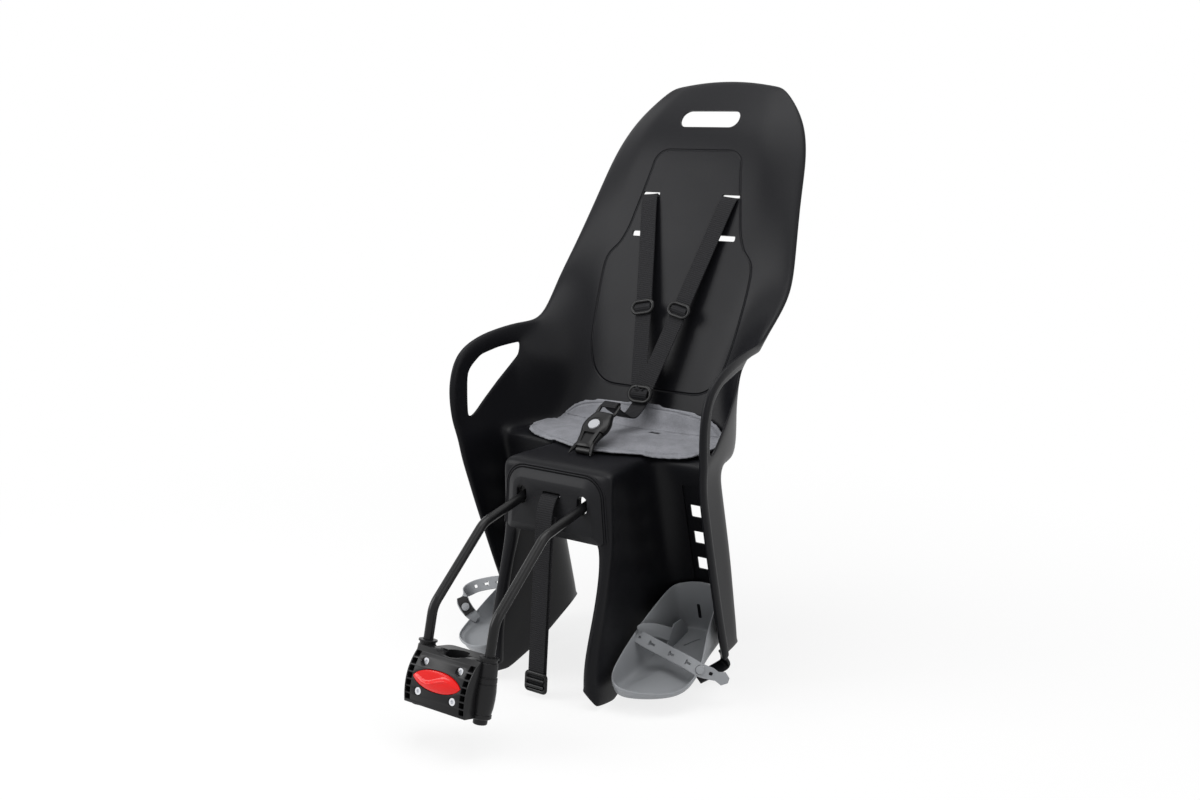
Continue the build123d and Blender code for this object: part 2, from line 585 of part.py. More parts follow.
# Moulded shell: back and wings, pan, lip over each leg, bridge, guards and the saddle for the bow
with BuildPart() as shell:
    for station in STATIONS:
        front, rear = rib_outline(station)
        with BuildSketch(rib_plane(station[0])):
            with BuildLine():
                Spline(*front)
                Line(front[-1], rear[-1])
                Spline(*reversed(rear))
                Line(rear[0], front[0])
            make_face()
    loft()
    with BuildSketch(back_plane()):
        with BuildLine():
            arch = [(-x, s) for x, s in ARCH] + [(0.0, ARCH_TOP)] + [(x, s) for x, s in reversed(ARCH)]
            Spline(*arch)
            shoulder = ARCH[0][1]
            Polyline(arch[-1], (STOCK, shoulder), (STOCK, -STOCK),
                     (-STOCK, -STOCK), (-STOCK, shoulder), arch[0])
        make_face()
    extrude(amount=STOCK, both=True, mode=Mode.INTERSECT)
    with BuildSketch(Plane.XY.offset(PAN_TOP - WALL)):
        Rectangle(2 * STOCK, 2 * STOCK)
    extrude(amount=-STOCK, mode=Mode.SUBTRACT)
    with BuildSketch(Plane.XY.offset(PAN_TOP - WALL)):
        with BuildLine():
            pan = [(-PAN_HALF_FRONT, PAN_FRONT + LIP_ROUND / 2), (PAN_HALF_FRONT, PAN_FRONT + LIP_ROUND / 2),
                   (PAN_HALF_REAR, BACK_FOOT - PAN_CORNER), (PAN_HALF_REAR - PAN_CORNER, BACK_FOOT),
                   (PAN_CORNER - PAN_HALF_REAR, BACK_FOOT), (-PAN_HALF_REAR, BACK_FOOT - PAN_CORNER)]
            Polyline(pan[5], pan[0], pan[1], pan[2])
            TangentArc(pan[2], pan[3], tangent=(0, 1))
            Line(pan[3], pan[4])
            TangentArc(pan[4], pan[5], tangent=(-1, 0))
        make_face()
    extrude(amount=WALL)
    lip_foot = guard_base - guard_up * LIP_DROP - guard_out * (WALL / 2)
    pan_middle = PAN_TOP - WALL / 2
    with BuildSketch(Plane.YZ.offset(GUARD_X + GUARD_ROUND - LIP_LAP)):
        with BuildLine():
            FilletPolyline((PAN_FRONT + 2 * LIP_ROUND, pan_middle), (PAN_FRONT + WALL / 2, pan_middle),
                           (lip_foot.Y, lip_foot.Z), radius=LIP_ROUND)
        trace(line_width=WALL)
    extrude(amount=GUARD_OUT_TOP - GUARD_X - 2 * GUARD_ROUND + LIP_LAP)
    mirror(about=Plane.YZ)
    with BuildSketch(Plane.YZ.offset(-GUARD_X - WALL / 2)):
        with BuildLine():
            FilletPolyline((PAN_FRONT + 2 * LIP_ROUND, pan_middle), (BRIDGE_FRONT + WALL / 2, pan_middle),
                           (BRIDGE_FRONT + WALL / 2, BRIDGE_FOOT), radius=BRIDGE_ROUND)
        trace(line_width=WALL)
    extrude(amount=2 * GUARD_X + WALL)
    add(guards.part)
    # saddle for the bow under the pan
    with BuildSketch(Plane.XY.offset(PAN_TOP - WALL)):
        with Locations((0, CLAMP_Y)):
            Rectangle(2 * CLAMP_HALF, CLAMP_D)
    extrude(amount=rod_axis(CLAMP_Y) + SPLIT / 2 - PAN_TOP + WALL)
    with BuildSketch(bow_plane):
        with Locations((-ROD_X, 0), (ROD_X, 0)):
            Circle(rod_r + BOW_ROOM)
    extrude(amount=CLAMP_D, both=True, mode=Mode.SUBTRACT)
    with BuildSketch(Plane.XY.offset(rod_axis(CLAMP_Y))):
        with Locations((-BOW_SCREW_X, CLAMP_Y), (BOW_SCREW_X, CLAMP_Y)):
            Circle(SCREW_D / 2 + SCREW_ROOM)
    extrude(amount=BOW_SCREW_BITE + LAP, mode=Mode.SUBTRACT)
    # rounded front edge of each shield
    with BuildSketch(edge_plane):
        with Locations((-EDGE_X, -EDGE_RIB_D / 2), (EDGE_X, -EDGE_RIB_D / 2)):
            RectangleRounded(EDGE_RIB, EDGE_RIB_D, EDGE_ROUND)
    extrude(amount=EDGE_LENGTH)
    # openings
    with BuildSketch(back_plane()):
        with Locations((0, HANDLE_UP)):
            RectangleRounded(HANDLE_W, HANDLE_H, HANDLE_ROUND)
        for x, s in (SLOT_UP, SLOT_LOW):
            with Locations((-x, s), (x, s)):
                RectangleRounded(SLOT_W, SLOT_H, SLOT_ROUND)
    extrude(amount=BACK_CUT, both=True, mode=Mode.SUBTRACT)
    with BuildSketch(Plane.YZ):
        with BuildLine():
            FilletPolyline(*ARM_HOLE, radius=[ARM_HOLE_ROUND] * len(ARM_HOLE), close=True)
        make_face()
    extrude(amount=2 * GUARD_OUT_TOP, both=True, mode=Mode.SUBTRACT)
    with BuildSketch(track_plane):
        for side in (-1, 1):
            with Locations((side * TRACK_X, -TRACK_TOP - (TRACK_COUNT - 1) * TRACK_PITCH / 2)):
                with GridLocations(1, TRACK_PITCH, 1, TRACK_COUNT):
                    RectangleRounded(TRACK_HOLE_W, TRACK_HOLE_H, TRACK_HOLE_ROUND)
    extrude(amount=2 * WALL, both=True, mode=Mode.SUBTRACT)
    with BuildSketch(track_plane):
        for side in (-1, 1):
            with Locations((side * TRACK_X, -(LIP_DROP + GUARD_LENGTH) / 2)):
                Rectangle(TRACK_W, GUARD_LENGTH - LIP_DROP)
    extrude(amount=-TRACK_DEPTH, mode=Mode.SUBTRACT)
    with BuildSketch(Plane.XZ.offset(-BRIDGE_FRONT)):
        with Locations((-ROD_X, rod_axis(BRIDGE_FRONT)), (ROD_X, rod_axis(BRIDGE_FRONT))):
            SlotOverall(ROD_HOLE_H + 2 * LAP, ROD_HOLE_W + 2 * LAP, rotation=90)
        with Locations((0, STRAP_Z)):
            RectangleRounded(STRAP_SLOT_W + 2 * LAP, STRAP_SLOT_H + 2 * LAP, STRAP_SLOT_ROUND)
    extrude(amount=-2 * WALL, mode=Mode.SUBTRACT)
shell.part.label = "shell"

# Dark plate on the front of the bridge
with BuildPart() as mounting_plate:
    with BuildSketch(Plane.XZ.offset(-BRIDGE_FRONT)) as plate_face:
        with BuildLine():
            FilletPolyline((-PLATE_HALF_FOOT, PLATE_FOOT), (-PLATE_HALF_TOP, PLATE_TOP),
                           (PLATE_HALF_TOP, PLATE_TOP), (PLATE_HALF_FOOT, PLATE_FOOT),
                           radius=[PLATE_FOOT_ROUND, PLATE_ROUND, PLATE_ROUND, PLATE_FOOT_ROUND], close=True)
        make_face()
    extrude(amount=PLATE_T)
    with BuildSketch(Plane.XZ.offset(PLATE_T - BRIDGE_FRONT)):
        add(plate_face.sketch_local)
        offset(amount=-PLATE_RIM, mode=Mode.REPLACE)
    extrude(amount=-PLATE_SINK, mode=Mode.SUBTRACT)
    with BuildSketch(Plane.XZ.offset(-BRIDGE_FRONT)):
        with Locations((-ROD_X, rod_axis(BRIDGE_FRONT)), (ROD_X, rod_axis(BRIDGE_FRONT))):
            SlotOverall(ROD_HOLE_H, ROD_HOLE_W, rotation=90)
        with Locations((0, STRAP_Z)):
            RectangleRounded(STRAP_SLOT_W, STRAP_SLOT_H, STRAP_SLOT_ROUND)
    extrude(amount=PLATE_T, mode=Mode.SUBTRACT)
mounting_plate.part.label = "mounting_plate"

# Saddle bar that holds the bow against the pan, and its two screws
with BuildPart() as bow_clamp:
    with BuildSketch(Plane.XY.offset(rod_axis(CLAMP_Y) - SPLIT / 2)):
        with Locations((0, CLAMP_Y)):
            RectangleRounded(2 * CLAMP_HALF, CLAMP_D, CLAMP_ROUND)
    extrude(amount=-CLAMP_H)
    with BuildSketch(bow_plane):
        with Locations((-ROD_X, 0), (ROD_X, 0)):
            Circle(rod_r + BOW_ROOM)
    extrude(amount=CLAMP_D, both=True, mode=Mode.SUBTRACT)
    with BuildSketch(Plane.XY.offset(rod_axis(CLAMP_Y))):
        with Locations((-BOW_SCREW_X, CLAMP_Y), (BOW_SCREW_X, CLAMP_Y)):
            Circle(SCREW_D / 2 + SCREW_ROOM)
    extrude(amount=-2 * CLAMP_H, mode=Mode.SUBTRACT)
bow_clamp.part.label = "bow_clamp"

bow_clamp_foot = rod_axis(CLAMP_Y) - SPLIT / 2 - CLAMP_H
with BuildPart() as bow_screws:
    with BuildSketch(Plane.XY.offset(bow_clamp_foot)):
        with Locations((-BOW_SCREW_X, CLAMP_Y), (BOW_SCREW_X, CLAMP_Y)):
            Circle(HEAD_R)
            RegularPolygon(HEAD_SOCKET / 2, 6, major_radius=False, mode=Mode.SUBTRACT)
    extrude(amount=-HEAD_H)
    with BuildSketch(Plane.XY.offset(bow_clamp_foot - HEAD_H / 2)):
        with Locations((-BOW_SCREW_X, CLAMP_Y), (BOW_SCREW_X, CLAMP_Y)):
            Circle(SCREW_D / 2)
    extrude(amount=bow_screw_top - bow_clamp_foot + HEAD_H / 2)
bow_screws.part.label = "bow_screws"

# Pad on the pan
with BuildPart() as seat_pad:
    with BuildSketch(Plane.XY.offset(PAN_TOP + PAD_ROOM)):
        with BuildLine():
            half = [(PAD_NOSE, PAD_FRONT), PAD_INNER, (PAD_HALF, PAD_SHOULDER), (PAD_HALF, PAD_REAR)]
            FilletPolyline(*half, *[(-x, y) for x, y in reversed(half)],
                           radius=PAD_ROUNDS + PAD_ROUNDS[::-1], close=True)
        make_face()
    extrude(amount=PAD_T)
    fillet(seat_pad.faces().sort_by(Axis.Z)[-1].edges(), PAD_T / 2)
seat_pad.part.label = "seat_pad"

# Safety strap from the plate's slot, with its slide
with BuildPart() as safety_strap:
    with BuildSketch(Plane.YZ.offset(-WEB_W / 2)):
        with BuildLine():
            FilletPolyline(*STRAP_PATH, radius=STRAP_BEND)
        trace(line_width=STRAP_T)
    extrude(amount=WEB_W)
safety_strap.part.label = "safety_strap"

strap_run = Vector(0, *STRAP_PATH[3]) - Vector(0, *STRAP_PATH[2])
strap_down = strap_run.normalized()
slide_spot = Vector(0, *STRAP_PATH[2]) + strap_run * ((SLIDE_Z - STRAP_PATH[2][1]) / strap_run.Z)
slide_plane = Plane(origin=slide_spot, x_dir=across, z_dir=strap_down)
with BuildPart() as safety_strap_slide:
    with BuildSketch(slide_plane.offset(-SLIDE_H / 2)):
        RectangleRounded(SLIDE_W, STRAP_T + 2 * SLIDE_T, SLIDE_ROUND)
        Rectangle(WEB_W + 2 * WEB_ROOM, STRAP_T + 2 * WEB_ROOM, mode=Mode.SUBTRACT)
    extrude(amount=SLIDE_H)
safety_strap_slide.part.label = "safety_strap_slide"


def strap_ends(side):
    """Start behind the slot, end at the joiner, and the plane along one shoulder strap."""
    start = back_point(side * SLOT_UP[0], SLOT_UP[1] - WEB_SLOT_DROP, WEB_LIFT)
    stack = JOIN_OUT + side * JOIN_STACK / 2
    end = back_point(side * JOIN_SIDE, JOIN_UP + OVAL_H / 2 + JOIN_GAP, stack)
    return start, end


straps, adjusters, stops = {}, {}, {}
for name, side in (("right", -1), ("left", 1)):
    start, end = strap_ends(side)
    run = end - start
    flat = run.cross(back_out).normalized()
    strap_plane = Plane(origin=start, x_dir=flat, z_dir=run)
    stub = back_point(side * SLOT_UP[0], SLOT_UP[1] - WEB_SLOT_DROP, WEB_LIFT + WEB_T / 2)
    with BuildPart() as strap:
        with BuildSketch(strap_plane):
            Rectangle(WEB_W, WEB_T)
        extrude(amount=run.length)
        with BuildSketch(Plane(origin=stub, x_dir=across, z_dir=back_out * -1)):
            Rectangle(WEB_W, WEB_T)
        extrude(amount=WEB_THROUGH)
    straps[name] = strap
    stop_spot = stub - back_out * (WEB_THROUGH + STOP_D / 2)
    with BuildPart() as stop:
        with BuildSketch(Plane(origin=stop_spot - across * STOP_L / 2, x_dir=back_up, z_dir=across)):
            Circle(STOP_D / 2)
        extrude(amount=STOP_L)
    stops[name] = stop
    ring_plane = Plane(origin=start + run * ADJUST_AT, x_dir=flat, z_dir=run)
    with BuildPart() as adjuster:
        with BuildSketch(ring_plane.offset(-OVAL_H / 2)):
            RectangleRounded(OVAL_W, WEB_T + 2 * OVAL_T, OVAL_T)
            Rectangle(WEB_W + 2 * WEB_ROOM, WEB_T + 2 * WEB_ROOM, mode=Mode.SUBTRACT)
        extrude(amount=OVAL_H)
    adjusters[name] = adjuster
for name in straps:
    straps[name].part.label = f"{name}_shoulder_strap"
    stops[name].part.label = f"{name}_strap_stop"
    adjusters[name].part.label = f"{name}_strap_adjuster"

# Joiner of the two straps
with BuildPart() as harness_joiner:
    with BuildSketch(back_plane(JOIN_OUT - OVAL_T - JOIN_STACK / 2 - WEB_T)):
        with Locations((0, JOIN_UP)):
            SlotOverall(JOIN_W, OVAL_H)
    extrude(amount=2 * OVAL_T + JOIN_STACK + 2 * WEB_T)
harness_joiner.part.label = "harness_joiner"

# Buckle with its pocket for the button
buckle_foot = Vector(0, BUCKLE_Y, PAN_TOP + ANCHOR_H / 2)


def buckle_plane(along, out=0.0):
    """Plane across the buckle at a distance from its anchor."""
    return Plane(origin=buckle_foot + buckle_up * along + buckle_out * out, x_dir=across, z_dir=buckle_up)


def buckle_face(along, out):
    """Plane along the buckle's face."""
    return Plane(origin=buckle_foot + buckle_up * along + buckle_out * out, x_dir=across, z_dir=buckle_out)


press_front = BUCKLE_T / 2 + PRESS_PROUD
press_back = press_front - PRESS_T
with BuildPart() as buckle_body:
    with BuildSketch(buckle_plane(BUCKLE_START)):
        RectangleRounded(BUCKLE_FOOT_W, BUCKLE_FOOT_T, BUCKLE_ROUND)
    with BuildSketch(buckle_plane(BUCKLE_START + BUCKLE_TAPER)):
        RectangleRounded(BUCKLE_W, BUCKLE_T, BUCKLE_ROUND)
    with BuildSketch(buckle_plane(BUCKLE_START + BUCKLE_L)):
        RectangleRounded(BUCKLE_W, BUCKLE_T, BUCKLE_ROUND)
    loft()
    with BuildSketch(buckle_face(PRESS_AT, press_back - PRESS_TRAVEL - PRESS_GAP)):
        Circle(PRESS_R + PRESS_GAP)
    extrude(amount=BUCKLE_T, mode=Mode.SUBTRACT)
    with BuildSketch(buckle_plane(BUCKLE_START + BUCKLE_L - TONGUE_IN - PRESS_GAP, TONGUE_DROP)):
        Rectangle(TONGUE_W + 2 * PRESS_GAP, TONGUE_T + 2 * PRESS_GAP)
    extrude(amount=2 * TONGUE_IN, mode=Mode.SUBTRACT)
buckle_body.part.label = "buckle_body"

with BuildPart() as buckle_button:
    with BuildSketch(buckle_face(PRESS_AT, press_back)):
        Circle(PRESS_R)
    extrude(amount=PRESS_T)
    fillet(buckle_button.faces().sort_by(Axis((0, 0, 0), buckle_out))[-1].edges(), PRESS_ROUND)
buckle_button.part.label = "buckle_button"

# Tongue in the buckle's mouth and the short strap to the joiner
tongue_start = BUCKLE_START + BUCKLE_L - TONGUE_IN
with BuildPart() as buckle_tongue:
    with BuildSketch(buckle_plane(tongue_start, TONGUE_DROP)):
        Rectangle(TONGUE_W, TONGUE_T)
    extrude(amount=TONGUE_IN + TONGUE_OUT)
    with BuildSketch(buckle_plane(BUCKLE_START + BUCKLE_L + PRESS_GAP, TONGUE_DROP)):
        RectangleRounded(BUCKLE_W, TONGUE_GRIP_T, TONGUE_ROUND)
    extrude(amount=TONGUE_OUT)
buckle_tongue.part.label = "buckle_tongue"

tongue_end = (buckle_foot + buckle_up * (BUCKLE_START + BUCKLE_L + TONGUE_OUT + TONGUE_GAP)
              + buckle_out * TONGUE_DROP)
join_foot = back_point(0, JOIN_UP - OVAL_H / 2 - TONGUE_GAP, JOIN_OUT)
short_run = join_foot - tongue_end
with BuildPart() as tongue_strap:
    with BuildSketch(Plane(origin=tongue_end, x_dir=across, z_dir=short_run)):
        Rectangle(WEB_W, WEB_T)
    extrude(amount=short_run.length)
tongue_strap.part.label = "tongue_strap"

# Anchor of the buckle on the pan
with BuildPart() as crotch_anchor:
    with BuildSketch(Plane.XY.offset(PAN_TOP)):
        with Locations((0, BUCKLE_Y)):
            RectangleRounded(ANCHOR_W, ANCHOR_D, ANCHOR_ROUND)
    extrude(amount=ANCHOR_H)
    with BuildSketch(buckle_plane(0)):
        Rectangle(WEB_W, 2 * WEB_T)
    extrude(amount=BUCKLE_START)
crotch_anchor.part.label = "crotch_anchor"

# Left footrest: side profile across the tray, hollowed, low on its outer side
heel_top = track_spot(FOOT_HEEL_TOP)
heel_foot = track_spot(FOOT_FLOOR)
heel_wall = FOOT_WALL / cos(radians(GUARD_LEAN))
with BuildPart() as foot_hollow:
    with BuildSketch(Plane.YZ.offset(FOOT_IN + FOOT_WALL)):
        with BuildLine():
            low, high = FOOT_FLOOR + FOOT_WALL, FOOT_HEEL_TOP + FOOT_WALL
            Polyline((FOOT_TOE + FOOT_WALL, low), (FOOT_TOE + FOOT_WALL, high),
                     (track_spot(high) - heel_wall, high), (track_spot(low) - heel_wall, low), close=True)
        make_face()
    extrude(amount=FOOT_OUT - FOOT_IN - 2 * FOOT_WALL)
    fillet(foot_hollow.edges().filter_by(Axis.Z).group_by(Axis.Y)[0], FOOT_TOE_ROUND - FOOT_WALL)
    fillet(foot_hollow.edges().filter_by(Axis((0, 0, 0), guard_up)), FOOT_HEEL_ROUND - FOOT_WALL)
with BuildPart() as left_footrest:
    with BuildSketch(Plane.YZ.offset(FOOT_IN)):
        with BuildLine():
            Polyline((FOOT_TOE, FOOT_FLOOR), (FOOT_TOE, FOOT_HEEL_TOP), (heel_top, FOOT_HEEL_TOP),
                     (heel_foot, FOOT_FLOOR), close=True)
        make_face()
    extrude(amount=FOOT_OUT - FOOT_IN)
    fillet(left_footrest.edges().filter_by(Axis.Z).group_by(Axis.Y)[0], FOOT_TOE_ROUND)
    fillet(left_footrest.edges().filter_by(Axis((0, 0, 0), guard_up)), FOOT_HEEL_ROUND)
    add(foot_hollow.part, mode=Mode.SUBTRACT)
    above = FOOT_HEEL_TOP + LAP
    with BuildSketch(Plane.YZ.offset(FOOT_IN - LAP)):
        with BuildLine():
            Polyline((FOOT_TOE - LAP, FOOT_SIDE[1][1]), FOOT_SIDE[1], FOOT_SIDE[0],
                     (heel_top - FOOT_TOP_L, FOOT_HEEL_TOP), (heel_top - FOOT_TOP_L, above),
                     (FOOT_TOE - LAP, above), close=True)
        make_face()
    extrude(amount=FOOT_OUT - FOOT_IN + 2 * LAP, mode=Mode.SUBTRACT)
    with BuildSketch(Plane.YZ.offset(FOOT_OUT + LAP)):
        with BuildLine():
            Polyline(*FOOT_LOW, (FOOT_LOW[2][0], above), (FOOT_LOW[0][0], above), close=True)
        make_face()
    extrude(amount=-FOOT_WALL - FOOT_LOW_IN, mode=Mode.SUBTRACT)
    with BuildSketch(track_plane.offset(FOOT_GAP + LAP)):
        with Locations((TRACK_X, -RUNNER_AT)):
            Rectangle(TRACK_W - 2 * RUNNER_ROOM, RUNNER_L)
    extrude(amount=-(FOOT_GAP + LAP + TRACK_DEPTH - RUNNER_ROOM))
    with BuildSketch(stud_plane.offset(-STUD_L)):
        Circle(STUD_R)
    extrude(amount=STUD_L + BAND_T / 2 + SCREW_ROOM + STUD_HEAD_T)
    with BuildSketch(stud_plane.offset(BAND_T / 2 + SCREW_ROOM)):
        Circle(STUD_HEAD_R)
    extrude(amount=STUD_HEAD_T)
left_footrest.part.label = "left_footrest"
with BuildPart() as right_footrest:
    mirror(left_footrest.part, about=Plane.YZ)
right_footrest.part.label = "right_footrest"

# Left foot strap from the inner wall over the foot to the stud on the outer wall
with BuildPart() as left_foot_strap:
    with BuildSketch(Plane.XZ.offset(-BAND_Y)):
        with BuildLine():
            FilletPolyline(*BAND_PATH, radius=BAND_BEND)
        trace(line_width=BAND_T)
    extrude(amount=-BAND_W)
    with BuildSketch(stud_plane):
        Circle(STUD_R + SCREW_ROOM)
    extrude(amount=STUD_L, both=True, mode=Mode.SUBTRACT)
left_foot_strap.part.label = "left_foot_strap"
with BuildPart() as right_foot_strap:
    mirror(left_foot_strap.part, about=Plane.YZ)
right_foot_strap.part.label = "right_foot_strap"

os.makedirs("parts", exist_ok=True)
pieces = [clamp_body, clamp_jaw, clamp_screws, clamp_nuts, latch_plate, release_button, release_spring,
          carrier_bow, shell, mounting_plate, bow_clamp, bow_screws, seat_pad, safety_strap, safety_strap_slide,
          straps["right"], straps["left"], adjusters["right"], adjusters["left"], stops["right"], stops["left"],
          harness_joiner, buckle_body, buckle_button, buckle_tongue, tongue_strap, crotch_anchor,
          left_footrest, right_footrest, left_foot_strap, right_foot_strap]
for piece in pieces:
    export_step(piece.part, f"parts/{piece.part.label}.step")
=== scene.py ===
"""Child bike seat on its seat-tube block: the moulded shell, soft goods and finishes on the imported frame."""

import logging
import math
from dataclasses import dataclass, field
from enum import Enum
from typing import Any, Iterable, Sequence

import bmesh
import bpy
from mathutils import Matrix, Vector


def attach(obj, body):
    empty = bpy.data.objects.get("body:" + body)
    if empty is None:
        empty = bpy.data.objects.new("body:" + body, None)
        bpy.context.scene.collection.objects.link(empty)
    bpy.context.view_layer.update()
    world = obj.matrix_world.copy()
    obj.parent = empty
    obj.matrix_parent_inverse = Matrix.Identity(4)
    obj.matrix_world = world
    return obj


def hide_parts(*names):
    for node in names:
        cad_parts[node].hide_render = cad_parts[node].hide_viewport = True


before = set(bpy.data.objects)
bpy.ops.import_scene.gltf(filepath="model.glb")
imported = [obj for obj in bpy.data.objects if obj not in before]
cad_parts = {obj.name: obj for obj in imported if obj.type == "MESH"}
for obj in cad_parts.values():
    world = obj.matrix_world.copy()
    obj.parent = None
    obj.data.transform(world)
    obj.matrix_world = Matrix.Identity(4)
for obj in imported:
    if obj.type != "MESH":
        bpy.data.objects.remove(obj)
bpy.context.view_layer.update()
LOG = logging.getLogger("child_bike_seat")
MM = 0.001
Point = tuple[float, float, float]
SIDEWAYS = Vector((1, 0, 0))

RECLINE = math.radians(20)
BACK_FOOT = Vector((0, 398, 210))
BACK_UP = Vector((0, math.sin(RECLINE), math.cos(RECLINE)))
BACK_OUT = Vector((0, -math.cos(RECLINE), math.sin(RECLINE)))


class Slot(Enum):
    """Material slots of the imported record."""

    SHELL = "shell_plastic"
    PLATE = "plate_plastic"
    BLOCK = "block_plastic"
    ROD = "powder_coat"
    ZINC = "zinc"
    RED = "button_red"
    WEBBING = "webbing"
    BUCKLE = "buckle_plastic"
    PALE = "button_pale"
    FELT = "pad_felt"
    TRAY = "footrest_grey"
    BAND = "band_grey"


def on_back(across: float, height: float, proud: float = 0.0) -> Vector:
    """A point of the reclined back.

    Args:
        across: millimetres to the child's left of the middle.
        height: millimetres up the back from the pan.
        proud: millimetres in front of the back's plane.

    Returns:
        The point in millimetres.
    """
    return BACK_FOOT + Vector((across, 0, 0)) + BACK_UP * height + BACK_OUT * proud


def between(a: Sequence[float], b: Sequence[float], share: float) -> Vector:
    """The point that lies at a share of the way from a to b."""
    return Vector(a).lerp(Vector(b), share)


class Value:
    """A shader socket whose arithmetic adds Math nodes."""

    def __init__(self, shader: "Shader", socket: Any) -> None:
        """Keeps the shader and the socket that carries the value."""
        self.shader = shader
        self.socket = socket

    def maths(self, operation: str, *values: Any) -> "Value":
        """Adds one Math node.

        Args:
            operation: the Math node's operation.
            values: its inputs, numbers or values.

        Returns:
            The node's result.
        """
        return self.shader.node("ShaderNodeMath", {"operation": operation}, dict(enumerate(values)))

    def __add__(self, other: Any) -> "Value":
        """self + other."""
        return self.maths("ADD", self, other)

    def __radd__(self, other: Any) -> "Value":
        """other + self."""
        return self.maths("ADD", other, self)

    def __sub__(self, other: Any) -> "Value":
        """self - other."""
        return self.maths("SUBTRACT", self, other)

    def __rsub__(self, other: Any) -> "Value":
        """other - self."""
        return self.maths("SUBTRACT", other, self)

    def __mul__(self, other: Any) -> "Value":
        """self * other."""
        return self.maths("MULTIPLY", self, other)

    def __rmul__(self, other: Any) -> "Value":
        """other * self."""
        return self.maths("MULTIPLY", other, self)


class Shader:
    """A material whose nodes are added one call at a time."""

    def __init__(self, name: str) -> None:
        """Makes an empty material with a Principled shader on its output."""
        self.material = bpy.data.materials.new(name)
        self.material.use_nodes = True
        self.tree = self.material.node_tree
        self.tree.nodes.clear()
        self.surface = self.tree.nodes.new("ShaderNodeBsdfPrincipled")
        output = self.tree.nodes.new("ShaderNodeOutputMaterial")
        self.tree.links.new(self.surface.outputs["BSDF"], output.inputs["Surface"])

    def feed(self, socket: Any, value: Any) -> None:
        """Sets a socket to a constant or links a value to it."""
        if isinstance(value, Value):
            self.tree.links.new(value.socket, socket)
        else:
            socket.default_value = value

    def node(self, kind: str, settings: dict[str, Any] | None = None,
             inputs: dict[Any, Any] | None = None, output: Any = 0) -> Value:
        """Adds a node.

        Args:
            kind: the node's type.
            settings: its properties; stops is a ramp's list of (position, colour).
            inputs: values or links by socket name or number.
            output: the name or number of the socket to return.

        Returns:
            The chosen output.
        """
        made = self.tree.nodes.new(kind)
        for key, setting in (settings or {}).items():
            if key == "stops":
                ramp = made.color_ramp.elements
                while len(ramp) < len(setting):
                    ramp.new(0.5)
                for element, (position, colour) in zip(ramp, setting):
                    element.position = position
                    element.color = colour
            else:
                setattr(made, key, setting)
        for key, value in (inputs or {}).items():
            self.feed(made.inputs[key], value)
        return Value(self, made.outputs[output])

    def place(self) -> Value:
        """The point's place on the object."""
        return self.node("ShaderNodeTexCoord", output="Object")

    def noise(self, scale: float, detail: float = 2.0, place: Value | None = None) -> Value:
        """Noise over the object.

        Args:
            scale: noise cells per metre.
            detail: octaves of finer noise.
            place: where to read it, if not the object's own coordinates.

        Returns:
            The noise, from 0 to 1.
        """
        spot = place or self.place()
        return self.node("ShaderNodeTexNoise", None, {"Vector": spot, "Scale": scale, "Detail": detail})

    def bump(self, height: Value, depth: float, strength: float, under: Value | None = None) -> Value:
        """Feeds the Normal from a height.

        Args:
            height: the surface's height, from 0 to 1.
            depth: metres that a height of 1 stands for.
            strength: how much of the bump shows.
            under: the bump that this one lies on.

        Returns:
            The normal.
        """
        inputs = {"Height": height, "Distance": depth, "Strength": strength}
        if under:
            inputs["Normal"] = under
        normal = self.node("ShaderNodeBump", None, inputs)
        self.feed(self.surface.inputs["Normal"], normal)
        return normal

    def line(self, attribute: str, width: float) -> Value:
        """A soft line where an attribute is 0.

        Args:
            attribute: the name of a distance in metres.
            width: the line's half width in metres.

        Returns:
            1 in the line's middle and 0 beside it.
        """
        far = self.node("ShaderNodeAttribute", {"attribute_name": attribute}, output="Fac")
        return self.node("ShaderNodeMapRange", {"interpolation_type": "SMOOTHSTEP"},
                         {"Value": far.maths("ABSOLUTE", far), "From Min": 0.0, "From Max": width,
                          "To Min": 1.0, "To Max": 0.0})

    def set(self, **sockets: Any) -> None:
        """Feeds the Principled sockets, named with _ for a space."""
        for name, value in sockets.items():
            self.feed(self.surface.inputs[name.replace("_", " ")], value)


@dataclass(frozen=True)
class MouldedPlastic:
    """Injection-moulded plastic with a spark-eroded grain."""

    name: str
    colour: Point
    roughness: float = 0.42
    grain: float = 900.0
    grain_depth: float = 0.0003
    grain_strength: float = 0.25
    wear: float = 0.08
    coat: float = 0.0
    shine: float = 0.3
    groove: str = ""
    groove_width: float = 0.0022
    groove_depth: float = 0.0016

    def material(self) -> bpy.types.Material:
        """The finish as a material."""
        shader = Shader(self.name)
        cloudy = shader.noise(14, 3)
        shader.set(Base_Color=(*self.colour, 1), Roughness=self.roughness + (cloudy - 0.5) * self.wear,
                   Coat_Weight=self.coat, Coat_Roughness=0.08, Specular_IOR_Level=self.shine)
        grain = shader.bump(shader.noise(self.grain, 1), self.grain_depth, self.grain_strength)
        if self.groove:
            shader.bump(1 - shader.line(self.groove, self.groove_width), self.groove_depth, 1.0, grain)
        return shader.material


@dataclass(frozen=True)
class BareMetal:
    """Plated or coated metal."""

    name: str
    colour: Point
    metallic: float
    roughness: float
    peel: float = 600.0
    peel_strength: float = 0.05

    def material(self) -> bpy.types.Material:
        """The finish as a material."""
        shader = Shader(self.name)
        shader.set(Base_Color=(*self.colour, 1), Metallic=self.metallic, Roughness=self.roughness)
        shader.bump(shader.noise(self.peel, 1), 0.0002, self.peel_strength)
        return shader.material


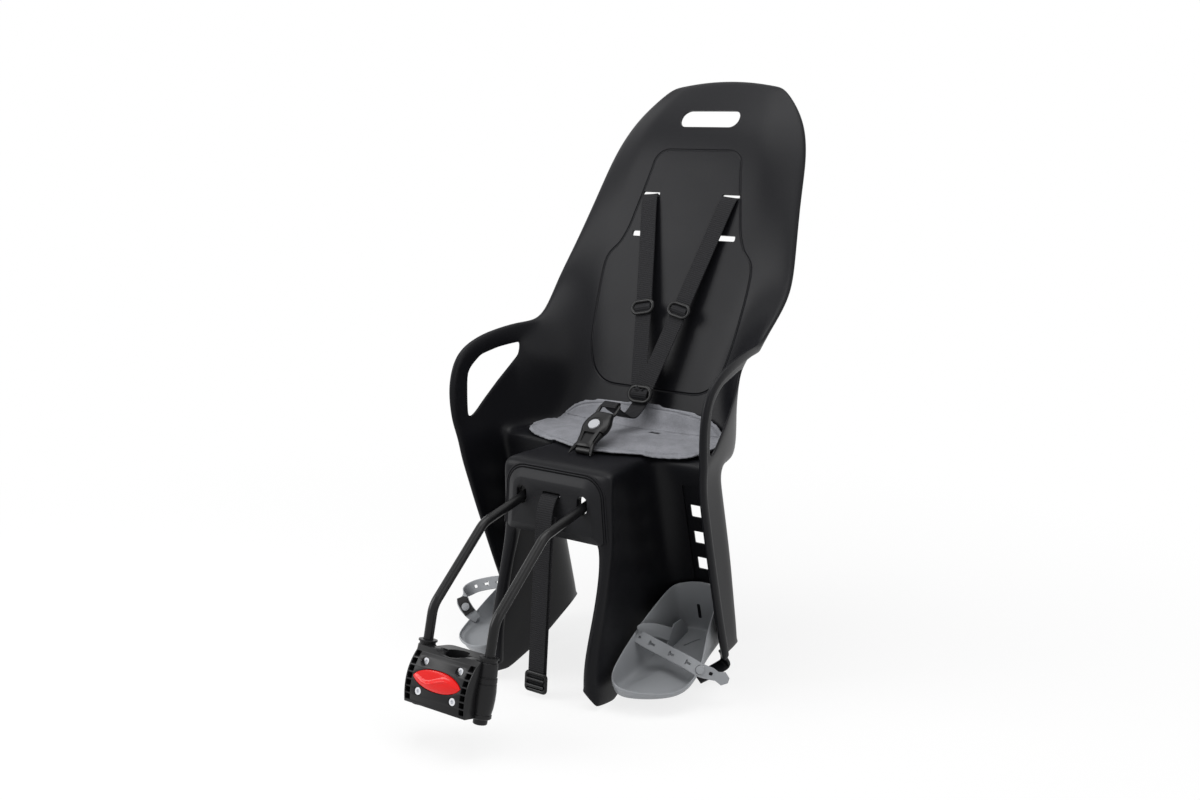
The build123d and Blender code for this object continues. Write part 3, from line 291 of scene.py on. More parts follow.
@dataclass(frozen=True)
class WovenWebbing:
    """Polyester webbing: ribs across the strap, with painted shade in the weave's hollows, on the piece's own UV map in
    metres.
    """

    name: str
    colour: Point
    pick: float = 0.0011
    end: float = 0.0013

    def material(self) -> bpy.types.Material:
        """The finish as a material."""
        shader = Shader(self.name)
        uv = shader.node("ShaderNodeTexCoord", output="UV")
        part = shader.tree.nodes.new("ShaderNodeSeparateXYZ")
        shader.feed(part.inputs[0], uv)
        along = Value(shader, part.outputs[0])
        across = Value(shader, part.outputs[1])
        turn = 2 * math.pi
        weft = (along * (turn / self.pick)).maths("SINE", along * (turn / self.pick))
        shift = (across * (turn / self.end)).maths("SINE", across * (turn / self.end))
        weave = (weft * shift) * 0.35 + weft * 0.3 + 0.5
        # painted shade: the weave's hollows are darkened to a fifth of the colour and its ribs left lighter, on top of
        # the bump
        tint = shader.node("ShaderNodeMix", {"data_type": "RGBA"},
                           {0: weave, 6: (*[c * 0.2 for c in self.colour], 1), 7: (*self.colour, 1)}, 2)
        shader.set(Base_Color=tint, Roughness=0.62, Specular_IOR_Level=0.16)
        shader.bump(weave, 0.0005, 1.0)
        return shader.material


@dataclass(frozen=True)
class PressedFelt:
    """Grey pressed felt over foam."""

    name: str
    colour: Point
    fleck: Point

    def material(self) -> bpy.types.Material:
        """The finish as a material."""
        shader = Shader(self.name)
        fibre = shader.noise(1400, 3)
        cloud = shader.noise(60, 3)
        mixed = fibre * 0.75 + cloud * 0.25
        tint = shader.node("ShaderNodeValToRGB",
                           {"stops": [(0.36, (*self.colour, 1)), (0.64, (*self.fleck, 1))]}, {0: mixed})
        shader.set(Base_Color=tint, Roughness=0.92, Specular_IOR_Level=0.2)
        fuzz = shader.bump(mixed, 0.0006, 0.4)
        shader.bump(1 - shader.line("seam", 0.0024), 0.0014, 0.9, fuzz)
        return shader.material


FINISHES: dict[Slot, Any] = {
    Slot.SHELL: MouldedPlastic("shell_black", (0.006, 0.0061, 0.0076), 0.38, 700, 0.0004, 0.22, shine=0.13,
                               groove="panel"),
    Slot.PLATE: MouldedPlastic("plate_charcoal", (0.011, 0.0112, 0.0128), 0.46, 500, 0.0004, 0.3, shine=0.15),
    Slot.BLOCK: MouldedPlastic("block_black", (0.009, 0.009, 0.0098), 0.36, 900, 0.0002, 0.12, shine=0.22),
    Slot.ROD: MouldedPlastic("rod_powder_coat", (0.005, 0.005, 0.0055), 0.28, 500, 0.0002, 0.1, shine=0.25),
    Slot.ZINC: BareMetal("screw_zinc", (0.74, 0.75, 0.78), 1.0, 0.26, 400, 0.03),
    Slot.RED: MouldedPlastic("button_red", (0.74, 0.007, 0.006), 0.17, 400, 0.0002, 0.02, 0.05, shine=0.3),
    Slot.WEBBING: WovenWebbing("strap_webbing", (0.017, 0.017, 0.0195), 0.0028, 0.0022),
    Slot.BUCKLE: MouldedPlastic("buckle_black", (0.006, 0.006, 0.0065), 0.3, 1200, 0.0002, 0.1, shine=0.22),
    Slot.PALE: MouldedPlastic("button_pale", (0.42, 0.43, 0.45), 0.4, 900, 0.0002, 0.08),
    Slot.FELT: PressedFelt("pad_felt", (0.15, 0.153, 0.167), (0.29, 0.295, 0.32)),
    Slot.TRAY: MouldedPlastic("tray_grey", (0.275, 0.285, 0.30), 0.45, 900, 0.0003, 0.2),
    Slot.BAND: MouldedPlastic("band_grey", (0.29, 0.30, 0.315), 0.5, 700, 0.0002, 0.15),
}


class Paint:
    """The finishes as materials, each made once."""

    made: dict[Slot, bpy.types.Material] = {}

    @classmethod
    def of(cls, slot: Slot) -> bpy.types.Material:
        """The material of a slot."""
        if slot not in cls.made:
            cls.made[slot] = FINISHES[slot].material()
        return cls.made[slot]


def choose(obj: bpy.types.Object) -> None:
    """Selects obj alone and makes it active."""
    bpy.ops.object.select_all(action="DESELECT")
    obj.select_set(True)
    bpy.context.view_layer.objects.active = obj


def apply(obj: bpy.types.Object, kind: str, **settings: Any) -> None:
    """Adds a modifier to a piece and applies it.

    Args:
        obj: the piece.
        kind: the modifier's type.
        settings: its properties.
    """
    modifier = obj.modifiers.new(kind.lower(), kind)
    for name, setting in settings.items():
        setattr(modifier, name, setting)
    choose(obj)
    bpy.ops.object.modifier_apply(modifier=modifier.name)


def smooth(obj: bpy.types.Object, degrees: float = 40) -> None:
    """Shades a piece smooth, with edges over an angle kept sharp."""
    choose(obj)
    bpy.ops.object.shade_smooth_by_angle(angle=math.radians(degrees))


def mesh_object(name: str, verts: Iterable[Sequence[float]], faces: Iterable[Sequence[int]]) -> bpy.types.Object:
    """Makes an object from points in millimetres.

    Args:
        name: the piece's name.
        verts: its points.
        faces: its faces.

    Returns:
        The object, with its place in its mesh.
    """
    mesh = bpy.data.meshes.new(name)
    mesh.from_pydata([Vector(v) * MM for v in verts], [], [tuple(f) for f in faces])
    mesh.validate()
    obj = bpy.data.objects.new(name, mesh)
    bpy.context.scene.collection.objects.link(obj)
    return obj


def dress(obj: bpy.types.Object, slot: Slot, body: str, *nodes: str) -> bpy.types.Object:
    """Gives a piece its finish and its body.

    Args:
        obj: the piece.
        slot: its material slot.
        body: the CAD body that it rides on.
        nodes: the CAD nodes that it replaces.

    Returns:
        The piece.
    """
    obj.data.materials.clear()
    obj.data.materials.append(Paint.of(slot))
    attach(obj, body)
    if nodes:
        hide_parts(*nodes)
    LOG.info("%s on %s, %d faces", obj.name, body, len(obj.data.polygons))
    return obj


@dataclass(frozen=True)
class Face:
    """A drawing plane in the part's frame, in millimetres."""

    origin: Vector
    right: Vector
    up: Vector

    @property
    def out(self) -> Vector:
        """The plane's normal."""
        return self.right.cross(self.up)

    def at(self, x: float, y: float, z: float = 0.0) -> Vector:
        """The point at x and y of the plane, z in front of it."""
        return self.origin + self.right * x + self.up * y + self.out * z

    def prism(self, name: str, outline: Sequence[tuple[float, float]], low: float, high: float) -> bpy.types.Object:
        """A straight block over an outline.

        Args:
            name: the block's name.
            outline: its corners, anticlockwise.
            low: where it starts along the normal.
            high: where it ends.

        Returns:
            The block.
        """
        count = len(outline)
        points = [self.at(x, y, low) for x, y in outline] + [self.at(x, y, high) for x, y in outline]
        faces = [list(range(count))[::-1], list(range(count, 2 * count))]
        faces += [[i, (i + 1) % count, (i + 1) % count + count, i + count] for i in range(count)]
        return mesh_object(name, points, faces)


BACK = Face(BACK_FOOT, SIDEWAYS, BACK_UP)
GROUND = Face(Vector((0, 0, 0)), SIDEWAYS, Vector((0, 1, 0)))
FRONT = Face(Vector((0, 197, 0)), SIDEWAYS, Vector((0, 0, 1)))
GUARD_LEAN = math.radians(14.7)
GUARD = Face(Vector((0, 304, 210)), SIDEWAYS, Vector((0, -math.sin(GUARD_LEAN), math.cos(GUARD_LEAN))))


def rounded(width: float, height: float, radius: float, at: tuple[float, float] = (0, 0),
            steps: int = 5) -> list[tuple[float, float]]:
    """The outline of a rounded rectangle.

    Args:
        width: its width.
        height: its height.
        radius: its corners' radius.
        at: its middle.
        steps: how many steps a corner has.

    Returns:
        The corners, anticlockwise.
    """
    points = []
    for k, (sx, sy) in enumerate(((1, 1), (-1, 1), (-1, -1), (1, -1))):
        for i in range(steps + 1):
            angle = math.pi / 2 * (k + i / steps)
            points.append((at[0] + sx * (width / 2 - radius) + radius * math.cos(angle),
                           at[1] + sy * (height / 2 - radius) + radius * math.sin(angle)))
    return points


def curve(points: Sequence[Sequence[float]], step: float) -> list[Vector]:
    """Samples a smooth curve through points.

    Args:
        points: what the curve passes through.
        step: about how far apart the samples are.

    Returns:
        The samples, with both ends.
    """
    knots = [Vector(p) for p in points]
    knots = [knots[0] * 2 - knots[1], *knots, knots[-1] * 2 - knots[-2]]
    made = [knots[1]]
    for a, b, c, d in zip(knots, knots[1:], knots[2:], knots[3:]):
        count = max(2, math.ceil((c - b).length / step))
        for i in range(1, count + 1):
            t = i / count
            made.append(0.5 * (2 * b + (c - a) * t + (2 * a - 5 * b + 4 * c - d) * t ** 2
                               + (3 * b - a - 3 * c + d) * t ** 3))
    return made


def tube(name: str, path: Sequence[Vector], radius: float | Sequence[float], guide: Vector, closed: bool = False,
         flat: float = 1.0, sides: int = 14) -> bpy.types.Object:
    """Sweeps an oval section along a path.

    Args:
        name: the piece's name.
        path: the section's middle.
        radius: the section's half width, one number or one for each point.
        guide: a direction that isn't along the path; the section's height lies towards it.
        closed: whether the path joins up.
        flat: the section's height as a share of its width.
        sides: how many sides it has.

    Returns:
        The piece.
    """
    count = len(path)
    sizes = [radius] * count if isinstance(radius, (int, float)) else list(radius)
    points = []
    for i, p in enumerate(path):
        before = path[i - 1] if closed or i else p
        after = path[(i + 1) % count] if closed or i + 1 < count else p
        along = (after - before).normalized()
        high = (guide - along * guide.dot(along)).normalized()
        wide = high.cross(along)
        for k in range(sides):
            angle = 2 * math.pi * k / sides
            points.append(p + (wide * math.cos(angle) + high * math.sin(angle) * flat) * sizes[i])
    faces = []
    for i in range(count if closed else count - 1):
        j = (i + 1) % count
        for k in range(sides):
            m = (k + 1) % sides
            faces.append([i * sides + k, j * sides + k, j * sides + m, i * sides + m])
    if not closed:
        faces += [list(range(sides)), list(range((count - 1) * sides, count * sides))[::-1]]
    return mesh_object(name, points, faces)


def joined(name: str, pieces: Sequence[bpy.types.Object]) -> bpy.types.Object:
    """Joins pieces into one object."""
    choose(pieces[0])
    for piece in pieces:
        piece.select_set(True)
    bpy.ops.object.join()
    pieces[0].name = name
    return pieces[0]


def cut(obj: bpy.types.Object, cutters: Sequence[bpy.types.Object], operation: str = "DIFFERENCE") -> None:
    """Takes cutters out of a piece, or adds them to it.

    Args:
        obj: the piece.
        cutters: closed blocks, used up by the cut.
        operation: the Boolean operation.
    """
    tool = joined("cutter", cutters) if len(cutters) > 1 else cutters[0]
    apply(obj, "BOOLEAN", operation=operation, object=tool, solver="EXACT", use_self=len(cutters) > 1)
    bpy.data.objects.remove(tool)


def turn_out(obj: bpy.types.Object) -> None:
    """Turns a closed piece's faces outwards."""
    mesh = bmesh.new()
    mesh.from_mesh(obj.data)
    bmesh.ops.recalc_face_normals(mesh, faces=mesh.faces)
    mesh.to_mesh(obj.data)
    mesh.free()


def lofted(name: str, points: Sequence[Vector], size: int) -> bpy.types.Object:
    """A closed piece over rings of points.

    Args:
        name: the piece's name.
        points: the rings' points, one ring after the other.
        size: how many points a ring has.

    Returns:
        The piece, with its faces turned outwards.
    """
    last = len(points) - size
    faces = [[i + k, i + (k + 1) % size, i + size + (k + 1) % size, i + size + k]
             for i in range(0, last, size) for k in range(size)]
    faces += [list(range(size))[::-1], list(range(last, last + size))]
    obj = mesh_object(name, points, faces)
    turn_out(obj)
    return obj


class Cage:
    """A quad cage of one half of a symmetric wall, in millimetres."""

    def __init__(self) -> None:
        """Starts with no points."""
        self.points: list[Vector] = []
        self.faces: list[list[int]] = []
        self.known: dict[tuple[float, ...], int] = {}

    def point(self, at: Sequence[float]) -> int:
        """The number of a point, one for each place."""
        key = tuple(round(c, 2) + 0.0 for c in at)
        if key not in self.known:
            self.known[key] = len(self.points)
            self.points.append(Vector(at))
        return self.known[key]

    def grid(self, rows: Sequence[Sequence[Sequence[float]]], gaps: Iterable[tuple[int, int]] = ()) -> None:
        """Adds the quads between rows of points.

        Args:
            rows: rows of equal length.
            gaps: the (row, column) places left open.
        """
        open_at = set(gaps)
        for i in range(len(rows) - 1):
            for j in range(len(rows[i]) - 1):
                if (i, j) in open_at:
                    continue
                corners = (rows[i][j], rows[i][j + 1], rows[i + 1][j + 1], rows[i + 1][j])
                ring = []
                for corner in corners:
                    number = self.point(corner)
                    if number not in ring:
                        ring.append(number)
                if len(ring) > 2:
                    self.faces.append(ring)

    def mirrored(self, name: str) -> bpy.types.Object:
        """The cage and its mirror image as one object with faces turned one way."""
        twin = []
        points = list(self.points)
        for p in self.points:
            if abs(p.x) < 0.01:
                twin.append(len(twin))
            else:
                twin.append(len(points))
                points.append(Vector((-p.x, p.y, p.z)))
        faces = self.faces + [[twin[i] for i in reversed(f)] for f in self.faces]
        return mesh_object(name, points, faces)


@dataclass
class ShellWall:
    """The moulded shell: back, wings, arm loops, pan, bridge and both leg guards."""

    wall: float = 4.0
    pan_top: float = 210.0
    lip_y: float = 304.0
    bridge_half: float = 74.0
    rear_lean: float = 0.262
    rear_levels: tuple[float, ...] = (210, 182, 148, 112, 75, 40, 6, -27)
    outer_levels: tuple[float, ...] = (210, 182, 148, 112, 74, 36, 0, -46)
    front_edge: tuple[tuple[float, float], ...] = (
        (197, 207), (196, 188), (196, 152), (197, 118), (187, 75), (172, 25), (158, -25), (157, -80))
    front_flare: tuple[float, ...] = (86, 86, 86, 86, 86, 87, 88, 92)
    rib_inside: tuple[float, ...] = (64, 64, 64, 64, 70, 70, 67, 66)
    rib_lift: float = 18.0
    rib_deep: float = 15.0
    outer_most: float = 173.5
    outer_top: float = 179.0
    outer_taper: float = 0.045
    strip_top: float = 183.0
    strip_taper: float = 0.052
    strip_shares: tuple[float, float] = (0.37, 0.71)
    pan_shares: tuple[float, ...] = (0.62, 0.79, 0.91, 1)
    shield_middle: float = 0.45
    shield_ahead: float = 0.22
    shield_flare: float = 0.55
    arm_from: int = 12
    arm_blend: int = 5
    track_x: float = 130.0
    hole_top: float = -73.0
    hole_pitch: float = 39.0
    hole_count: int = 4
    handle_up: float = 451.0
    strip_edge: tuple[tuple[float, float], ...] = (
        (235, 207), (239, 183), (250, 150), (262, 113), (275, 77), (288, 40), (301, 4), (324, -53))
    guard_lip: tuple[Point, ...] = (
        (168.5, 332, -47), (168, 340, -58), (166, 342, -65), (163, 334, -68), (160, 312, -69), (157, 290, -69))
    bridge_x: tuple[float, ...] = (0, 30, 64, 74)
    bridge_y: tuple[float, ...] = (304, 272, 240, 214, 197)
    bridge_flare: tuple[float, ...] = (74, 76, 80, 84, 86)
    back_rows: tuple[tuple[float, float, float, float, float], ...] = (
        (42, 0, 141, 37, 15), (88, 0, 143, 79, 45), (128, 0, 157, 114, 50), (165, 0, 174, 158, 38),
        (208, 0, 184, 207, 15), (262, 0, 176, 256, 4), (338, 0, 163, 334, -7), (398, 0, 156, 394, -18),
        (440, -7, 145, 432, -26), (466, -16, 133, 457, -31), (493, -28, 116, 481, -36), (518, -40, 91, 507, -40))
    bucket_share: tuple[float, ...] = (0, 0.177, 0.342, 0.468, 0.658, 0.823, 0.93, 1)
    bucket_rise: tuple[float, ...] = (0, 0, 0, 0, 0.02, 0.14, 0.45, 1)
    roll_share: tuple[float, ...] = (0, 0.2, 0.36, 0.47, 0.59, 0.69, 0.84, 1)
    roll_rise: tuple[float, ...] = (0, 0, 0, 0.02, 0.05, 0.13, 0.53, 1)
    arm_rows: tuple[tuple[Point, ...], ...] = (
        ((163, 358, 210), (170, 332, 210), (174, 304, 210), (177.5, 280, 209), (180.5, 257, 208), (183, 235, 207)),
        ((164, 358, 253), (175, 333, 252), (181, 304, 243), (184, 279, 234), (185, 252, 223), (186, 231, 226)),
        ((164, 350, 305), (173, 346, 312), (181, 312, 281), (185, 281, 254), (187, 253, 228), (187, 227, 243)),
        ((168, 364, 331), (174, 350, 327), (182, 314, 323), (186, 281, 317), (188, 255, 299), (188.5, 224, 279)),
        ((171, 392, 352), (177, 358, 352), (183, 318, 347), (187, 284, 341), (188.5, 252, 329), (188.5, 234, 311)))
    shield_foot: tuple[Point, Point] = ((88, 205, -89), (78, 266, -64))
    hip: tuple[float, float] = (143, 10)
    strap_slots: tuple[tuple[float, float], ...] = ((64, 336), (69, 279))
    panel_line: tuple[tuple[float, float], ...] = (
        (0, 402), (30, 402), (55, 401), (68, 390), (72, 370), (78, 340), (84, 313), (90, 287), (100, 264), (112, 250),
        (117.5, 235), (118, 205), (116, 170), (113, 135), (107, 102), (96, 78), (75, 64), (40, 62), (0, 62))
    corner_in: float = 9.0
    corner_leg: float = 40.0
    cage: Cage = field(default_factory=Cage)

    def back_line(self, row: int) -> list[Vector]:
        """One row of the back, from its middle to the hip or the rim.

        Args:
            row: the row's number, 0 at the pan.

        Returns:
            Eight points.
        """
        if row == 0:
            half, forward = self.hip
            return [Vector((half * f, BACK_FOOT.y - forward * n, self.pan_top))
                    for f, n in zip(self.bucket_share, self.bucket_rise)]
        height, proud, half, rim_height, rim_proud = self.back_rows[row - 1]
        share = min(1.0, max(0.0, (row - 1) / 4))
        line = []
        for i in range(8):
            f = self.bucket_share[i] * (1 - share) + self.roll_share[i] * share
            n = self.bucket_rise[i] * (1 - share) + self.roll_rise[i] * share
            line.append(on_back(half * f, height + (rim_height - height) * f * f, proud + (rim_proud - proud) * n))
        return line

    def rear_point(self, level: int, share: float) -> Vector:
        """A point of a leg trough's rear wall.

        Args:
            level: the row, 0 at the lip.
            share: 0 at the shield and 1 at the outer strip.

        Returns:
            The point.
        """
        z = self.rear_levels[level] * (1 - share) + self.outer_levels[level] * share
        outer = min(self.outer_most, self.outer_top - (self.pan_top - z) * self.outer_taper)
        x = self.bridge_half + (outer - self.bridge_half) * share
        y = self.lip_y + (self.pan_top - z) * self.rear_lean
        if level and share == 0:
            return Vector((x + self.corner_in, y - self.corner_in, z))
        return Vector((x, y, z))

    def build(self) -> bpy.types.Object:
        """Lays the cage out, thickens and smooths it.

        Returns:
            The shell.
        """
        top = len(self.back_rows)
        back = [self.back_line(row) for row in range(top + 1)]
        self.cage.grid(back)
        arm = [[back[row][7], *map(Vector, self.arm_rows[row])] for row in range(5)]
        self.cage.grid(arm, [(2, 2), (2, 3), (2, 4)])
        self.pan(back[0], arm[0])
        self.guards(arm[0])
        rim = [(back[top][i], back[top - 1][i]) for i in range(7)]
        rim.append((back[top][7], back[top - 1][6]))
        rim += [(back[row][7], back[row][6]) for row in range(top - 1, 4, -1)]
        rim.append((back[4][7], back[4][6]))
        rim += [(arm[4][m], arm[3][m]) for m in range(1, 6)]
        rim.append((arm[4][6], arm[3][5]))
        rim += [(arm[row][6], arm[row][5]) for row in range(3, -1, -1)]
        rim += [(self.strip(k)[3], self.strip(k)[2]) for k in range(1, 8)]
        self.roll(rim)
        return self.finish()

    def pan(self, foot: list[Vector], side: list[Vector]) -> None:
        """Adds the pan and the bridge in front of it.

        Args:
            foot: the back's lowest row.
            side: the arm wall's lowest row.
        """
        rows = [foot]
        for step in range(1, 4):
            edge = side[step]
            shares = (*(x / edge.x for x in self.bridge_x), *self.pan_shares)
            rows.append([Vector((edge.x * f, edge.y, self.pan_top)) for f in shares])
        self.cage.grid(rows)
        self.lip = rows[-1]
        bridge = [self.lip[:4]]
        inside = self.bridge_x[:3]
        for y, flare in list(zip(self.bridge_y, self.bridge_flare))[1:]:
            z = self.front_edge[0][1] if y == self.bridge_y[-1] else self.pan_top
            bridge.append([Vector((x, y, z)) for x in (*inside, flare)])
        self.cage.grid(bridge)
        self.bridge = bridge
        face = [bridge[-1]]
        for (y, z), flare in zip(self.front_edge[1:4], self.front_flare[1:4]):
            face.append([Vector((x, y, z)) for x in (*inside, flare)])
        self.cage.grid(face)

    def strip(self, level: int) -> list[Vector]:
        """One row of the outer strip, from the trough's rear wall to its front edge."""
        rear = self.rear_point(level, 1)
        y, z = self.strip_edge[level]
        front = Vector((self.strip_top - (self.strip_edge[0][1] - z) * self.strip_taper, y, z))
        return [rear, *(between(rear, front, share) for share in self.strip_shares), front]

    def guards(self, side: list[Vector]) -> None:
        """Adds the trough's rear wall, the shield beside the wheel and the outer strip.

        Args:
            side: the arm wall's lowest row.
        """
        lip = self.lip
        shares = [(p.x - self.bridge_half) / (lip[7].x - self.bridge_half) for p in lip[3:]]
        rear = [lip[3:]] + [[self.rear_point(k, f) for f in shares] for k in range(1, 8)]
        self.cage.grid(rear)
        shield = [[row[3] for row in self.bridge]]
        for k in range(1, 8):
            y, z = self.front_edge[k]
            corner = self.rear_point(k, 0)
            front = Vector((self.front_flare[k], y, z))
            rest = Vector((self.bridge_half, corner.y + self.corner_in - self.corner_leg, corner.z - 4))
            middle = between(rest, front, self.shield_middle)
            ahead = between(front, rest, self.shield_ahead)
            ahead.x = self.bridge_half + (front.x - self.bridge_half) * self.shield_flare
            if k == 7:
                ahead, middle = map(Vector, self.shield_foot)
            shield.append([corner, rest, middle, ahead, front])
        self.cage.grid(shield)
        rib = []
        for k in range(3, 8):
            y, z = self.front_edge[k]
            inside = self.rib_inside[k]
            low = z + (self.rib_lift if k == 7 else 0)
            rib.append([Vector((self.front_flare[k], y, z)), Vector((inside, y, low)),
                        Vector((inside - 1, y + self.rib_deep, low))])
        self.cage.grid(rib)
        strip = [side[3:]] + [self.strip(k) for k in range(1, 8)]
        self.cage.grid(strip)

    def roll(self, rim: list[tuple[Vector, Vector]]) -> None:
        """Rolls the free edge over: outwards on the arms and backwards round the back.

        Args:
            rim: the edge's points, each with its neighbour inside the wall.
        """
        rows = [[p for p, _ in rim], [], []]
        for i, (p, inner) in enumerate(rim):
            before = rim[i - 1][0] if i else Vector((-rim[1][0].x, rim[1][0].y, rim[1][0].z))
            after = rim[i + 1][0] if i + 1 < len(rim) else p + (p - before)
            along = (after - before).normalized()
            reach = p - inner
            reach = (reach - along * reach.dot(along)).normalized()
            away = along.cross(reach).normalized()
            guide = SIDEWAYS if i > self.arm_from else -BACK_OUT
            if away.dot(guide) < 0:
                away.negate()
            share = min(1.0, max(0.0, (i - self.arm_from + 1) / self.arm_blend))
            rows[1].append(p + reach * (2 + 2 * share) + away * (6 + 3 * share))
            rows[2].append(p + reach * (-2 - 6 * share) + away * (9 + 3 * share))
        for row in rows[1:]:
            row[0].x = 0
        self.cage.grid(rows)

    def finish(self) -> bpy.types.Object:
        """Thickens the cage and smooths it.

        Returns:
            The shell.
        """
        obj = self.cage.mirrored("shell_wall")
        mesh = bmesh.new()
        mesh.from_mesh(obj.data)
        bmesh.ops.recalc_face_normals(mesh, faces=mesh.faces)
        mesh.faces.ensure_lookup_table()
        seat = min(mesh.faces, key=lambda f: (f.calc_center_median() - Vector((0.01, 0.35, 0.21))).length)
        if seat.normal.z < 0:
            bmesh.ops.reverse_faces(mesh, faces=mesh.faces)
        mesh.to_mesh(obj.data)
        mesh.free()
        apply(obj, "SOLIDIFY", thickness=self.wall * MM, offset=-1, use_even_offset=True,
              use_quality_normals=True, edge_crease_rim=0.5)
        apply(obj, "SUBSURF", levels=3, render_levels=3)
        cut(obj, self.openings())
        smooth(obj)
        self.panel(obj)
        self.lips()
        return dress(obj, Slot.SHELL, "seat", "shell")

    def lips(self) -> None:
        """Adds the curled lip at the foot of each leg guard."""
        for name, side in (("right", -1), ("left", 1)):
            path = [(side * x, y, z) for x, y, z in self.guard_lip]
            lip = Ribbon(f"{name}_guard_lip", path, [(side * 0.75, 0, -0.65)] * len(path), 16, 3.4).build()
            turn_out(lip)
            dress(lip, Slot.SHELL, "seat")

    def openings(self) -> list[bpy.types.Object]:
        """The blocks that cut the strap slots, the tracks with their holes, and the rod slots."""
        blocks = [BACK.prism("handle", rounded(94, 27, 12.5, (0, self.handle_up), 8), -60, 40)]
        for side in (-1, 1):
            for x, height in self.strap_slots:
                blocks.append(BACK.prism("strap_slot", rounded(28, 8, 2.5, (side * x, height)), -16, 12))
            blocks.append(GUARD.prism("track", rounded(30, 226, 2, (side * self.track_x, -148)), -2, 3))
            for step in range(self.hole_count):
                hole = rounded(16, 18, 1.5, (side * self.track_x, self.hole_top - self.hole_pitch * step))
                blocks.append(GUARD.prism("track_hole", hole, -12, -1))
            blocks.append(FRONT.prism("rod_slot", rounded(17, 29, 8.4, (side * 47, 164.6), 8), -9, 7))
        blocks.append(FRONT.prism("belt_slot", rounded(30, 8.5, 2, (0, 172.5)), -9, 7))
        return blocks

    def panel(self, obj: bpy.types.Object) -> None:
        """Stores how far each point lies from the back panel's outline, in metres and below 0 inside it.

        Args:
            obj: the shell.
        """
        line = curve([(x, height, 0) for x, height in self.panel_line], 4)
        layer = obj.data.attributes.new("panel", "FLOAT", "POINT")
        for vertex in obj.data.vertices:
            place = vertex.co / MM - BACK_FOOT
            spot = Vector((abs(place.x), place.dot(BACK_UP), 0))
            far = 50.0
            if spot.x < 150 and 20 < spot.y < 440 and abs(place.dot(BACK_OUT)) < 40:
                inside = False
                for a, b in zip(line, line[1:]):
                    edge = b - a
                    share = min(1.0, max(0.0, (spot - a).dot(edge) / edge.length_squared))
                    far = min(far, (spot - a - edge * share).length)
                    if (a.y > spot.y) != (b.y > spot.y):
                        inside ^= spot.x < a.x + (spot.y - a.y) / (b.y - a.y) * (b.x - a.x)
                far = -far if inside else far
            layer.data[vertex.index].value = far * MM


@dataclass
class Ribbon:
    """Flat webbing along a path, with its UV map in metres: U along it and V across."""

    name: str
    path: Sequence[Sequence[float]]
    across: Sequence[Sequence[float]]
    width: float = 25.0
    thick: float = 1.6
    step: float = 3.0
    edge: float = 0.6
    taper: Sequence[float] = ()

    def section(self) -> list[tuple[float, float]]:
        """The webbing's section as (across, up) points."""
        flat = self.width / 2 - self.edge
        high = self.thick / 2
        top = [(flat * f, high) for f in (-1, -0.5, 0, 0.5, 1)]
        under = [(x, -high) for x, _ in reversed(top)]
        return [*top, (self.width / 2, 0), *under, (-self.width / 2, 0)]

    def build(self) -> bpy.types.Object:
        """Sweeps the section along the path.

        Returns:
            The webbing.
        """
        places = curve(self.path, self.step)
        knots = [Vector(p) for p in self.path]
        scale = self.taper or [1.0] * len(knots)
        wides: list[Vector] = [Vector(self.across[0])]
        scales = [scale[0]]
        for i, (a, b) in enumerate(zip(knots, knots[1:])):
            count = max(2, math.ceil((b - a).length / self.step))
            wides += [between(self.across[i], self.across[i + 1], k / count) for k in range(1, count + 1)]
            scales += [scale[i] + (scale[i + 1] - scale[i]) * k / count for k in range(1, count + 1)]
        ring = self.section()
        points, runs, run = [], [], 0.0
        for i, p in enumerate(places):
            along = (places[min(i + 1, len(places) - 1)] - places[max(i - 1, 0)]).normalized()
            wide = (wides[i] - along * wides[i].dot(along)).normalized()
            high = wide.cross(along)
            points += [p + wide * (x * scales[i]) + high * y for x, y in ring]
            run += (p - places[i - 1]).length if i else 0.0
            runs.append(run)
        obj = lofted(self.name, points, len(ring))
        weave = obj.data.uv_layers.new(name="weave")
        for loop in obj.data.loops:
            row, column = divmod(loop.vertex_index, len(ring))
            weave.data[loop.index].uv = (runs[row] * MM, ring[column][0] * MM)
        smooth(obj, 50)
        return obj


def oval_ring(name: str, face: Face, size: tuple[float, float], radius: float, lift: float,
              bar: float) -> bpy.types.Object:
    """A moulded strap ring with a bar across its middle.

    Args:
        name: the ring's name.
        face: its plane.
        size: its outer width and height.
        radius: half its section.
        lift: how far the ring stands in front of the plane.
        bar: how far the bar stands in front of it.

    Returns:
        The ring.
    """
    width, height = size[0] - 2 * radius, size[1] - 2 * radius
    path = [face.at(x, y, lift) for x, y in rounded(width, height, height * 0.49, steps=10)]
    ring = tube(name, path, radius, face.out, True, 0.85)
    reach = width / 2 - radius * 0.3
    rod = tube("bar", [face.at(x, 0, bar) for x in (-reach, 0, reach)], radius * 0.75, face.out)
    ring = joined(name, [ring, rod])
    smooth(ring, 60)
    return ring


